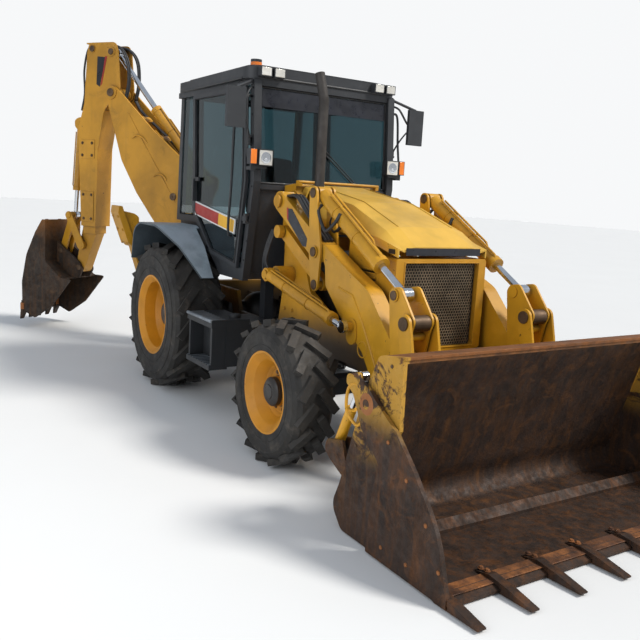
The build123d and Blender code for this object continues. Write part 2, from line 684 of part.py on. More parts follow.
def loader_arms():
    y0, y1 = between(ARM_Y)
    slim = [(T_PIN[0] + 30, T_PIN[1] + 66), (M_PIN[0] + 60, M_PIN[1] + 66), (M_PIN[0] + 80, M_PIN[1] - 70, 20),
            (M_PIN[0] - 40, M_PIN[1] - 64), (T_PIN[0] - 30, T_PIN[1] - 70)]
    knee = [(M_PIN[0] - 10, M_PIN[1] + 104, 40), (2372, 1318, 60), (2590, 1228, 200), (2900, 905, 120),
            (2985, 640, 200), (3050, 400, 100), (3175, 300, 60), (3120, 215, 60), (3010, 230, 60), (2565, 815, 80),
            (2278, 1012, 80), (2080, 1190, 40), (2060, 1330, 60)]
    half = [
        side(slim, y0, y1),
        side(knee, y0, y1),
        boss(T_PIN, 76, y0, y1),
        boss(H_PIN, 88, y0, y1),
        boss(P_PIN, 70, y0, y1),
        rod3((M_PIN[0], ARM_Y - 86, M_PIN[1]), (M_PIN[0], ARM_Y + 86, M_PIN[1]), 28),
        boss(M_PIN, 44, ARM_Y + 84, ARM_Y + 92), boss(M_PIN, 44, ARM_Y - 92, ARM_Y - 84),
        # bracket for the lift rod
        link(N_PIN, (2440, 900), 52, 60, y1 - 10, y1 + 8),
        rod3((N_PIN[0], y1, N_PIN[1]), (N_PIN[0], LIFT_Y - 26, N_PIN[1]), 30),
    ]
    cuts = [boss(T_PIN, 32.1, y0 - 10, y1 + 10)]
    with BuildPart() as a:
        for h in half:
            add(h)
        for c in cuts:
            add(c, mode=Mode.SUBTRACT)
        for p, bush in ((H_PIN, H_BUSH), (P_PIN, P_BUSH)):
            add(boss(p, bush + 0.1, y0 - 10, y1 + 10), mode=Mode.SUBTRACT)
        mirror(about=Plane.XZ)
        # cross tube between the arms, ahead of the nose
        add(rod3((2860, -ARM_Y, 700), (2860, ARM_Y, 700), 75))
    return a.part


save("loader_arms", loader_arms())

LIFT_LEN = math.hypot(N_PIN[0] - E_PIN[0], N_PIN[1] - E_PIN[1])
save("lift_barrels", both(barrel(E_PIN, N_PIN, LIFT_Y, 950, 44, LIFT_ROD, 52, 60, 26.1)))
save("lift_rods", both(rod_piece(E_PIN, N_PIN, LIFT_Y, 160, LIFT_ROD, 42, 34)))


def levelling_levers():
    half = []
    for y0, y1 in ((ARM_Y + LEV_IN, ARM_Y + LEV_OUT), (ARM_Y - LEV_OUT, ARM_Y - LEV_IN)):
        lo = link(M_PIN, L_PIN, 78, 46, y0, y1)
        up = link(M_PIN, U_PIN, 78, 48, y0, y1)
        half.append(join(lo, up, cut=[boss(M_PIN, 28.1, y0 - 5, y1 + 5)]))
    half.append(rod3((U_PIN[0], ARM_Y - 88, U_PIN[1]), (U_PIN[0], ARM_Y + 88, U_PIN[1]), 26))
    half.append(rod3((L_PIN[0], ARM_Y - 84, L_PIN[1]), (L_PIN[0], ARM_Y + 84, L_PIN[1]), 26))
    return both(join(*half))


save("levelling_levers", levelling_levers())
save("levelling_links", both(join(link(S_PIN, L_PIN, 50, 46, ARM_Y - 24, ARM_Y + 24),
                                  cut=[boss(S_PIN, 28.1, 400, 700), boss(L_PIN, 26.2, 400, 700)])))
# each pin turns with its bush in the arm
save("hinge_pins", both(join(boss(H_PIN, H_BUSH, *between(ARM_Y)),
                             rod3((H_PIN[0], ARM_Y - 112, H_PIN[1]), (H_PIN[0], ARM_Y + 112, H_PIN[1]), 30),
                             boss(H_PIN, 44, ARM_Y + 112, ARM_Y + 120), boss(H_PIN, 44, ARM_Y - 120, ARM_Y - 112))))
save("lever_pins", both(join(boss(P_PIN, P_BUSH, *between(ARM_Y)),
                             rod3((P_PIN[0], ARM_Y - 85, P_PIN[1]), (P_PIN[0], ARM_Y + 85, P_PIN[1]), 30),
                             boss(P_PIN, 42, ARM_Y + 83, ARM_Y + 89), boss(P_PIN, 42, ARM_Y - 89, ARM_Y - 83))))


def tilt_levers():
    half = []
    for y0, y1 in ((ARM_Y + LEV_IN, ARM_Y + LEV_OUT - 2), (ARM_Y - LEV_OUT + 2, ARM_Y - LEV_IN)):
        plate = side([(P_PIN[0] - 62, P_PIN[1] - 20, 50), (V_PIN[0] - 62, V_PIN[1] + 40, 60),
                      (V_PIN[0] + 50, V_PIN[1] + 60, 50), (W_PIN[0] + 60, W_PIN[1] + 20, 50),
                      (W_PIN[0] + 30, W_PIN[1] - 60, 50), (P_PIN[0] + 60, P_PIN[1] - 50, 50),
                      (P_PIN[0] - 20, P_PIN[1] - 62, 50)], y0, y1)
        half.append(join(plate, cut=[boss(P_PIN, 30.1, y0 - 5, y1 + 5), boss(W_PIN, 28.1, y0 - 5, y1 + 5)]))
        # pin head at the rod's eye
        s = 1 if y0 > ARM_Y else -1
        yy = y1 if s > 0 else y0
        half.append(boss(V_PIN, 40, yy - s, yy + s * 10))
    half.append(rod3((3010, ARM_Y - 70, 1000), (3010, ARM_Y + 70, 1000), 30))
    return both(join(*half))


save("tilt_levers", tilt_levers())
# a collar on the link pin keeps the two lever plates apart
save("link_pins", both(join(boss(W_PIN, W_COLLAR, ARM_Y - LEV_IN + 2, ARM_Y + LEV_IN - 2),
                            rod3((W_PIN[0], ARM_Y - LINK_OUT - 2, W_PIN[1]), (W_PIN[0], ARM_Y + LINK_OUT + 2, W_PIN[1]), 28),
                            boss(W_PIN, 42, ARM_Y + LINK_OUT + 2, ARM_Y + LINK_OUT + 10),
                            boss(W_PIN, 42, ARM_Y - LINK_OUT - 10, ARM_Y - LINK_OUT - 2))))


def tilt_links():
    half = []
    for y0, y1 in ((ARM_Y + LINK_IN, ARM_Y + LINK_OUT), (ARM_Y - LINK_OUT, ARM_Y - LINK_IN)):
        half.append(join(link(W_PIN, B_PIN, 58, 52, y0, y1),
                         cut=[boss(W_PIN, 28.1, y0 - 5, y1 + 5), boss(B_PIN, 28.1, y0 - 5, y1 + 5)]))
    return both(join(*half))


save("tilt_links", tilt_links())
save("tilt_barrels", both(barrel(U_PIN, V_PIN, ARM_Y, 880, 54, TILT_ROD, 46, 100, 26.2)))
save("tilt_rods", both(rod_piece(U_PIN, V_PIN, ARM_Y, 300, TILT_ROD, 48, 70)))

# ---------------------------------------------------------------- loader bucket
def clam_barrel(s):
    a, i, g, e, m = (along(CLAM_G, CLAM_D, v) for v in (24, 46, 258, 284, 300))
    y = s * 1112
    return join(boss(CLAM_G, 36, s * 1090, s * 1134), rod3((a[0], y, a[1]), (e[0], y, e[1]), 30),
                cut=[rod3((i[0], y, i[1]), (g[0], y, g[1]), CLAM_ROD + BORE_GAP),
                     rod3((i[0], y, i[1]), (m[0], y, m[1]), CLAM_ROD + GLAND_GAP),
                     boss(CLAM_G, 22.1, s * 1080, s * 1140)])


def bucket_back():
    sheet = [(3735, 1066), (3545, 1036, 30), (3425, 783, 300), (3371, 604, 300), (3262, 260, 200), (3200, 120, 90),
             (3300, 12, 60), (3560, 12), (3560, 34), (3312, 40, 60), (3238, 130, 90), (3296, 260, 200),
             (3399, 600, 300), (3450, 783, 300), (3562, 1008, 30), (3735, 1040)]
    cheek = [(3737, 1071), (3541, 1041, 30), (3420, 786, 300), (3366, 606, 300), (3257, 262, 200),
             (3194, 119, 90), (3297, 7, 60), (3562, 7), (3577, 306, 200), (3627, 540, 100), (3742, 700)]
    ear = [(3440, 720), (B_PIN[0] - 10, B_PIN[1] + 62, 50), (B_PIN[0] - 60, B_PIN[1] - 20, 50),
           (H_PIN[0] - 55, H_PIN[1] + 40, 50), (H_PIN[0] - 30, H_PIN[1] - 62, 50), (3240, 120), (3330, 300)]
    bracket = [(3300, 380), (3250, 500), (3100, 470, 40), (3080, 400, 40), (3140, 360, 30), (3280, 300)]
    bowl = side([(3760, 1050), (3555, 1018), (3440, 783), (3386, 602), (3280, 260), (3222, 130), (3306, 28),
                 (3900, 28)], -1160, 1160)
    parts = [side(cheek, 1148, 1172), boss(CLAM_PIN, 60, 1151, 1174),
             rod3((CLAM_PIN[0], 1155, CLAM_PIN[1]), (CLAM_PIN[0], 1208, CLAM_PIN[1]), 26),
             join(side(bracket, 1056, 1076), side(bracket, 1147, 1165), cut=[bowl]),
             rod3((CLAM_G[0], 1052, CLAM_G[1]), (CLAM_G[0], 1160, CLAM_G[1]), 22)]
    for y0, y1 in ((ARM_Y + LEV_IN, ARM_Y + LEV_OUT), (ARM_Y - LEV_OUT, ARM_Y - LEV_IN)):
        parts.append(join(side(ear, y0, y1), cut=[bowl, boss(H_PIN, 30.1, y0 - 5, y1 + 5)]))
    parts.append(rod3((B_PIN[0], ARM_Y - LINK_OUT - 4, B_PIN[1]), (B_PIN[0], ARM_Y + LINK_OUT + 4, B_PIN[1]), 28))
    half = join(*parts)
    whole = join(side(sheet, -1158, 1158), half, flip(half))
    return whole


save("bucket_back", bucket_back())
save("clam_barrels", join(clam_barrel(1), clam_barrel(-1)))


def clam():
    with BuildPart() as b:
        add(box(3572, 4150, -1203, 1203, 12, 40))
        add(side([(4100, 12), (4193, 10), (4193, 26), (4120, 48)], -1203, 1203))
        add(side([(3572, 40), (3572, 90, 10), (3590, 100), (3640, 60), (3640, 40)], -1176, 1176))
        for s in (1, -1):
            add(side([(3572, 12), (3590, 306, 200), (3640, 500, 60), (3470, 640, 80), (3380, 800, 30), (3310, 850, 20),
                      (3312, 905, 30), (3400, 900, 40), (3520, 860, 40), (3600, 800, 60), (3760, 701, 30),
                      (3905, 560, 600), (4104, 337, 600), (4193, 60, 20), (4193, 12)], s * 1179, s * 1203))
            add(boss(CLAM_D, 26, s * 1138, s * 1190))
            add(boss(CLAM_PIN, 26.1, s * 1170, s * 1210), mode=Mode.SUBTRACT)
        for i in range(8):
            y = -1172 + i * 2344 / 7
            tooth = side([(4020, 44), (4120, 66), (4240, 52), (4395, 22), (4395, 14), (4240, 8), (4110, 2), (4090, 12),
                          (4200, 12), (4200, 28), (4120, 50)], y - 26, y + 26)
            add(tooth)
    return b.part


save("clam", clam())
save("clam_rods", both(rod_piece(CLAM_G, CLAM_D, 1112, 244, CLAM_ROD, 28, 40)))

# ---------------------------------------------------------------- stabilisers
def yz(y, z, x0, x1, r, hole=0):
    """A round bar along X at (y, z)."""
    return rod3((x0, y, z), (x1, y, z), r, hole)


def leg_point(d, off=0):
    a = math.radians(LEG_UP)
    return (STAB_Y + d * math.cos(a) - off * math.sin(a), STAB_Z + d * math.sin(a) + off * math.cos(a))


def stabiliser(s):
    def pts(*raw):
        return [(s * leg_point(d, o)[0], leg_point(d, o)[1]) + ((r,) if r else ()) for d, o, r in raw]
    plate = pts((-70, 60, 50), (LEG_LEN + 20, 50, 50), (LEG_LEN + 60, -20, 40), (LEG_LEN, -70, 40),
                (420, -95, 60), (-60, -70, 50))
    web = pts((150, -95, 0), (420, -108, 0), (LEG_LEN - 100, -88, 0), (LEG_LEN - 100, -70, 0), (420, -90, 0),
              (150, -70, 0))
    foot = pts((LEG_LEN - 210, -78, 0), (LEG_LEN + 200, -78, 0), (LEG_LEN + 210, -110, 0),
               (LEG_LEN + 150, -140, 0), (LEG_LEN - 160, -140, 0), (LEG_LEN - 220, -110, 0))
    ribs = pts((LEG_LEN - 150, -78, 0), (LEG_LEN - 110, -10, 40), (LEG_LEN + 40, 60, 50), (LEG_LEN + 90, 20, 30),
               (LEG_LEN + 150, -78, 0))
    with BuildPart() as b:
        add(front(plate, STAB_X - 68, STAB_X - 50))
        add(front(plate, STAB_X + 50, STAB_X + 68))
        add(front(web, STAB_X - 68, STAB_X + 68))
        add(front(foot, STAB_X - 130, STAB_X + 120))
        add(front(ribs, STAB_X - 96, STAB_X - 78))
        add(front(ribs, STAB_X + 76, STAB_X + 94))
        p = leg_point(LEG_LEN, 0)
        add(yz(s * p[0], p[1], STAB_X - 102, STAB_X + 100, 26))
        add(yz(s * STAB_Y, STAB_Z, STAB_X - 68, STAB_X + 68, 48))
        add(yz(s * STAB_Y, STAB_Z, STAB_X - 90, STAB_X + 90, 30.1), mode=Mode.SUBTRACT)
        q = leg_point(LEG_D)
        add(yz(s * q[0], q[1], STAB_X - 74, STAB_X - 67, 34))
        add(yz(s * q[0], q[1], STAB_X + 67, STAB_X + 73, 34))
    return b.part


save("stabiliser_left", stabiliser(1))
save("stabiliser_right", stabiliser(-1))


def x_barrel(p, q, x, length, r, rod, eye_r, eye_w, hole):
    a, e, g, o, m = (along(p, q, v) for v in (eye_r * 0.7, length, length - r * 0.9, eye_r * 1.5, length + 5))
    return join(
        yz(p[0], p[1], x - eye_w / 2, x + eye_w / 2, eye_r),
        rod3((x, a[0], a[1]), (x, e[0], e[1]), r),
        rod3((x, g[0], g[1]), (x, e[0], e[1]), r + 5),
        cut=[yz(p[0], p[1], x - eye_w, x + eye_w, hole),
             rod3((x, o[0], o[1]), (x, g[0], g[1]), rod + BORE_GAP),
             rod3((x, o[0], o[1]), (x, m[0], m[1]), rod + GLAND_GAP)],
    )


def x_rod(p, q, x, inside, r, eye_r, eye_w):
    a, e = along(p, q, inside), along(q, p, eye_r * 0.7)
    return join(yz(q[0], q[1], x - eye_w / 2, x + eye_w / 2, eye_r), rod3((x, a[0], a[1]), (x, e[0], e[1]), r))


LD = leg_point(LEG_D)
for s, sn in ((1, "left"), (-1, "right")):
    base, eye = (s * SG_PIN[0], SG_PIN[1]), (s * LD[0], LD[1])
    save(f"stabiliser_barrel_{sn}", x_barrel(base, eye, STAB_X, 345, 40, STAB_ROD, 38, 84, 22.1))
    save(f"stabiliser_rod_{sn}", x_rod(base, eye, STAB_X, 80, STAB_ROD, 36, 84))

# ---------------------------------------------------------------- backhoe, built straight back and then swung
def hx(r):
    return POST_X - r


def hp(points):
    return [(hx(p[0]), p[1]) + tuple(p[2:]) for p in points]


def hpin(p):
    return (hx(p[0]), p[1])


def swing_post():
    # lower casting around the kingpost and the boom's foot, with two cheeks up to the boom cylinder's pin
    cheek = hp([(-50, 832), (-50, 950, 50), (0, 1006, 50), (70, 985, 40), (215, 880, 60), (262, 720, 40), (230, 620),
                (116, 620), (112, 756), (112, 832)])
    return join(
        rod3((POST_X, 0, 458), (POST_X, 0, 762), 84),
        side(hp([(0, 470), (0, 742), (110, 742, 30), (180, 722, 60), (258, 690, 60), (262, 600, 80), (140, 540, 40),
                 (60, 470)]), -100, 100),
        side(cheek, 66, 94), side(cheek, -94, -66),
        rod3((hx(K_PIN[0]), -98, K_PIN[1]), (hx(K_PIN[0]), 98, K_PIN[1]), 30),
        cut=[rod3((POST_X, 0, 300), (POST_X, 0, 816.5), 40.1), boss(hpin(F_PIN), 40.1, -200, 200)],
    )


save("swing_post", swing_post(), swung=True)

BOOM = [(F_PIN[0] - 95, F_PIN[1] - 40, 90), (F_PIN[0] + 60, F_PIN[1] - 110, 80), (F_PIN[0] + 130, F_PIN[1] + 20, 60),
        (340, 930, 200), (570, 1400, 200), (830, 1720, 200), (1050, 2080, 300), (1180, 2480, 200),
        (B2_PIN[0] + 90, B2_PIN[1] + 10, 80),
        (B2_PIN[0] - 10, B2_PIN[1] + 95, 80), (B2_PIN[0] - 110, B2_PIN[1] + 20, 60), (620, 2420, 200),
        (250, 2140, 200), (60, 1990, 60), (-70, 1930, 60), (-60, 1820, 50), (40, 1620, 300), (60, 1200, 300)]


def boom():
    with BuildPart() as b:
        for s in (1, -1):
            add(side(hp(BOOM), s * BOOM_IN, s * BOOM_OUT))
            add(boss(hpin(B2_PIN), 74, s * BOOM_IN, s * (BOOM_OUT + 12)))
            add(boss(hpin(F_PIN), 80, s * 108, s * (BOOM_OUT + 10)))
        # cover plates between the sides, on the upper half
        add(side(hp([(820, 1760), (1036, 2110), (1020, 2120), (804, 1768)]), -BOOM_IN - 2, BOOM_IN + 2))
        add(side(hp([(300, 2050), (740, 2440), (752, 2426), (312, 2036)]), -BOOM_IN - 2, BOOM_IN + 2))
        add(rod3((hx(F_PIN[0]), -BOOM_OUT - 14, F_PIN[1]), (hx(F_PIN[0]), BOOM_OUT + 14, F_PIN[1]), 40))
        add(rod3((hx(B2_PIN[0]), -BOOM_OUT - 16, B2_PIN[1]), (hx(B2_PIN[0]), BOOM_OUT + 16, B2_PIN[1]), 38))
        add(rod3((hx(SC_PIN[0]), -BOOM_OUT, SC_PIN[1]), (hx(SC_PIN[0]), BOOM_OUT, SC_PIN[1]), 32))
        for s in (1, -1):
            add(boss(hpin(BL_PIN), 46, s * 100, s * (BOOM_IN + 2)))
    return b.part


save("boom", boom(), swung=True)
save("boom_barrel", barrel(hpin(K_PIN), hpin(BL_PIN), 0, 690, 56, BOOM_ROD, 56, 118, 30.1), swung=True)
save("boom_rod", rod_piece(hpin(K_PIN), hpin(BL_PIN), 0, 134, BOOM_ROD, 50, 90), swung=True)

OUTER = [(1150, 3300, 60), (1190, 3395, 60), (1560, 3395, 60), (1590, 3300, 60), (1625, 2720, 40), (1700, 2460, 100),
         (1700, 2200), (1652, 1290), (1440, 1290), (1420, 2200, 200), (1340, 2640, 200), (1245, 2745, 60),
         (1140, 2770, 60), (1110, 2890, 60)]


def stick():
    with BuildPart() as b:
        for s in (1, -1):
            add(side(hp(OUTER), s * (STICK_Y - 14), s * STICK_Y))
        # machine-side wall and the head's closing plates
        add(side(hp([(1440, 1290), (1420, 2200), (1340, 2640), (1354, 2650), (1434, 2205), (1454, 1290)]), -STICK_Y, STICK_Y))
        add(side(hp([(1290, 2900), (1330, 2650), (1345, 2655), (1305, 2905)]), -STICK_Y, STICK_Y))
        add(boss(hpin(B2_PIN), 66, -STICK_Y, STICK_Y))
        for s in (1, -1):
            add(boss(hpin(T2_PIN), 54, s * 60, s * (STICK_Y + 8)))
            add(boss(hpin(T1_PIN), 40, s * 60, s * (STICK_Y + 6)))
        add(rod3((hx(T1_PIN[0]), -STICK_Y - 10, T1_PIN[1]), (hx(T1_PIN[0]), STICK_Y + 10, T1_PIN[1]), 22))
        add(box(hx(1600), hx(1440), -STICK_Y, STICK_Y, 3380, 3394))
        # wear pads on which the inner stick slides
        for s in (1, -1):
            for z in (1300, 2180):
                add(box(hx(1600), hx(1490), s * (INNER_Y + SEAT_GAP), s * (STICK_Y - 12), z, z + 140))
        add(boss(hpin(B2_PIN), 38.1, -300, 300), mode=Mode.SUBTRACT)
    return b.part


save("stick", stick(), swung=True)
save("stick_barrel", barrel(hpin(SC_PIN), hpin(T2_PIN), 0, 1040, 56, STICK_ROD, 58, 100, 32.1), swung=True)
save("stick_rod", rod_piece(hpin(SC_PIN), hpin(T2_PIN), 0, 824, STICK_ROD, 52, 80), swung=True)


def inner_stick():
    with BuildPart() as b:
        add(side(hp([(1468, 1200), (1455, 2560), (1600, 2560), (1640, 1400), (1640, 1200)]), -INNER_Y, INNER_Y))
        add(side(hp([(1468, 1205), (1640, 1400), (1716, 1080, 60), (1764, 800, 60), (1735, 722, 60), (1672, 722, 60),
                     (1632, 800, 60), (1560, 980, 100)]), -72, 72))
        # bracket for the bucket cylinder, through the open back
        for s in (1, -1):
            add(side(hp([(1590, 2300), (1590, 2560), (HC_PIN[0] - 20, HC_PIN[1] + 60, 50), (HC_PIN[0] + 50, HC_PIN[1] + 30, 50),
                         (HC_PIN[0] + 40, HC_PIN[1] - 50, 50), (1640, 2300)]), s * 48, s * 70))
        add(rod3((hx(HC_PIN[0]), -72, HC_PIN[1]), (hx(HC_PIN[0]), 72, HC_PIN[1]), 26))
        add(boss(hpin(I_PIN), 50, -104, 104))
        add(boss(hpin(I_PIN), 28.1, -200, 200), mode=Mode.SUBTRACT)
        add(boss(hpin(J_PIN), 30.1, -200, 200), mode=Mode.SUBTRACT)
    return b.part


save("inner_stick", inner_stick(), swung=True)
save("bucket_barrel", barrel(hpin(HC_PIN), hpin(IT_PIN), 0, 800, 48, CURL_ROD, 50, 84, 26.1), swung=True)
save("bucket_rod", rod_piece(hpin(HC_PIN), hpin(IT_PIN), 0, 330, CURL_ROD, 44, 60), swung=True)


def idler():
    half = [link(hpin(I_PIN), hpin(IT_PIN), 52, 46, 110, 128)]
    i = join(half[0], rod3((hx(I_PIN[0]), -130, I_PIN[1]), (hx(I_PIN[0]), 130, I_PIN[1]), 28))
    return join(i, flip(half[0]), boss(hpin(IT_PIN), 34, 127, 136), boss(hpin(IT_PIN), 34, -136, -127),
                boss(hpin(IT_PIN), 34, 68, 111), boss(hpin(IT_PIN), 34, -111, -68))


save("idler", idler(), swung=True)


def power_link():
    # an H-shaped link from the idler's pin line to the bucket
    return join(link(hpin(IT_PIN), hpin(Q_PIN), 42, 46, 40, 64), link(hpin(IT_PIN), hpin(Q_PIN), 42, 46, -64, -40),
                rod3((hx(1930), -45, 1170), (hx(1930), 45, 1170), 24), cut=[boss(hpin(Q_PIN), 26.1, -200, 200)])


save("power_link", power_link(), swung=True)

TIP = (2560, 90)


def hoe_bucket():
    # outline of the side plate, and the wrapper that follows its back
    plate = side(hp([(1655, 640, 30), (1938, 300, 80), (2202, 125, 40), (2400, 200, 10), (2412, 560, 300),
                     (2340, 900, 300), (2200, 1180, 200), (2095, 1335, 30), (2045, 1335, 10), (2045, 830, 60),
                     (1810, 652, 60), (1690, 652, 20)]), HOE_BUCKET_Y - 16, HOE_BUCKET_Y)
    skin = side(hp([(2045, 1335, 10), (2095, 1335, 30), (2200, 1180, 200), (2340, 900, 300), (2412, 560, 300),
                    (2404, 200), (2384, 200), (2392, 560, 290), (2321, 892, 290), (2186, 1166, 190), (2085, 1315, 20),
                    (2063, 1315), (2063, 820, 60), (1822, 634, 60), (1796, 634), (1796, 652), (1810, 652, 60),
                    (2045, 830, 60)]), -HOE_BUCKET_Y, HOE_BUCKET_Y)
    with BuildPart() as b:
        add(plate)
        add(flip(plate))
        add(skin)
        for s in (1, -1):
            add(side(hp([(J_PIN[0] - 60, J_PIN[1] - 20, 50), (J_PIN[0] - 10, J_PIN[1] + 62, 50), (Q_PIN[0] - 30, Q_PIN[1] + 52, 40),
                         (2050, 1080), (2050, 826, 60), (1806, 652), (1700, 652)]),
                     s * 80, s * 104))
            add(rod3((hx(J_PIN[0]), s * 104, J_PIN[1]), (hx(J_PIN[0]), -s * 104, J_PIN[1]), 30))
            add(rod3((hx(Q_PIN[0]), s * 104, Q_PIN[1]), (hx(Q_PIN[0]), -s * 104, Q_PIN[1]), 26))
        add(box(hx(2416), hx(2390), -HOE_BUCKET_Y - 6, HOE_BUCKET_Y + 6, 180, 320))
        for i in range(5):
            y = (i - 2) * 140
            add(side(hp([(2384, 260), (2424, 270), (2440, 90), (2428, 86), (2378, 180)]), y - 28, y + 28))
    return b.part


save("hoe_bucket", hoe_bucket(), swung=True)
print("saved", len(SAVED))
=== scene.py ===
"""Looks of a backhoe loader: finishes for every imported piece, and the glass, hoses and trim on them."""

import math

import bmesh
import bpy
from mathutils import Matrix, Vector


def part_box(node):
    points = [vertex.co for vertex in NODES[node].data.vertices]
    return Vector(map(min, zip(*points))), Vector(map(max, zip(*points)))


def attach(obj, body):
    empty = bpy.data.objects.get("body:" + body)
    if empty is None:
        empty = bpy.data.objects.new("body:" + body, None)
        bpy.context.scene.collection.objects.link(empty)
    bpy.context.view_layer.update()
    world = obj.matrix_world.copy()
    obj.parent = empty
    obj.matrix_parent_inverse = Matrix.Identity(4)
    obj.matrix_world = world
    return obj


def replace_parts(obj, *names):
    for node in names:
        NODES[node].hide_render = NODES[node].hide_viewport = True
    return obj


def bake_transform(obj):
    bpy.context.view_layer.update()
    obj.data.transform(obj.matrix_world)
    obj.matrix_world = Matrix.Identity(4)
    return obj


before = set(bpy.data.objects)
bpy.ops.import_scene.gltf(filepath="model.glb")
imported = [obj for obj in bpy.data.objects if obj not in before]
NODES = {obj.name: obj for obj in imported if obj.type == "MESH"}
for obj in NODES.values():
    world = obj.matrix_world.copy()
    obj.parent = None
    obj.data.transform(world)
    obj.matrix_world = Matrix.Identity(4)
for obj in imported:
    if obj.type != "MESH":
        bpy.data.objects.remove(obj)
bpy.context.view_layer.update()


# ---------------------------------------------------------------- places
def middle(node):
    lo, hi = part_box(node)
    return (lo + hi) / 2


REAR_AXLE = (middle("rim_rear_left") + middle("rim_rear_right")) / 2
KINGPOST = -1350                    # swing axis, mm ahead of the rear axle
SWING = math.radians(34)            # how far the digging arm is stored to the right
ARM_Y = 513                         # centre of each loader arm, mm from the machine's centre
ARM_FACE = 573                      # its outer face
SIDES = (1, -1)                     # left and right
NAMED_SIDES = ((1, "left"), (-1, "right"))
HOSE_ROWS = (-104, -78, 78, 104)    # hoses along the boom, mm to the digging arm's left
SHARP = math.radians(40)            # edges that bend by more than this look sharp


def at(x, y, z):
    """A point given in mm ahead of the rear axle, to the machine's left, and above the ground."""
    return Vector((REAR_AXLE.x + x / 1000, REAR_AXLE.y + y / 1000, z / 1000))


def hoe(r, y, z):
    """A point on the digging arm, in mm behind the kingpost, to its left, and above the ground."""
    c, s = math.cos(SWING), math.sin(SWING)
    return at(KINGPOST - r * c - y * s, y * c - r * s, z)


def route(points, s=1, place=at):
    """Places for points of (x, y, z), their y taken to side s."""
    return [place(x, s * y, z) for x, y, z in points]


def along(p, q, mm):
    return p + (q - p).normalized() * (mm / 1000)


# ---------------------------------------------------------------- meshes
def put_in_scene(name, bm, finish):
    """Turns a finished bmesh into an object with that finish."""
    mesh = bpy.data.meshes.new(name)
    bm.to_mesh(mesh)
    bm.free()
    mesh.materials.append(finish)
    piece = bpy.data.objects.new(name, mesh)
    bpy.context.scene.collection.objects.link(piece)
    return piece


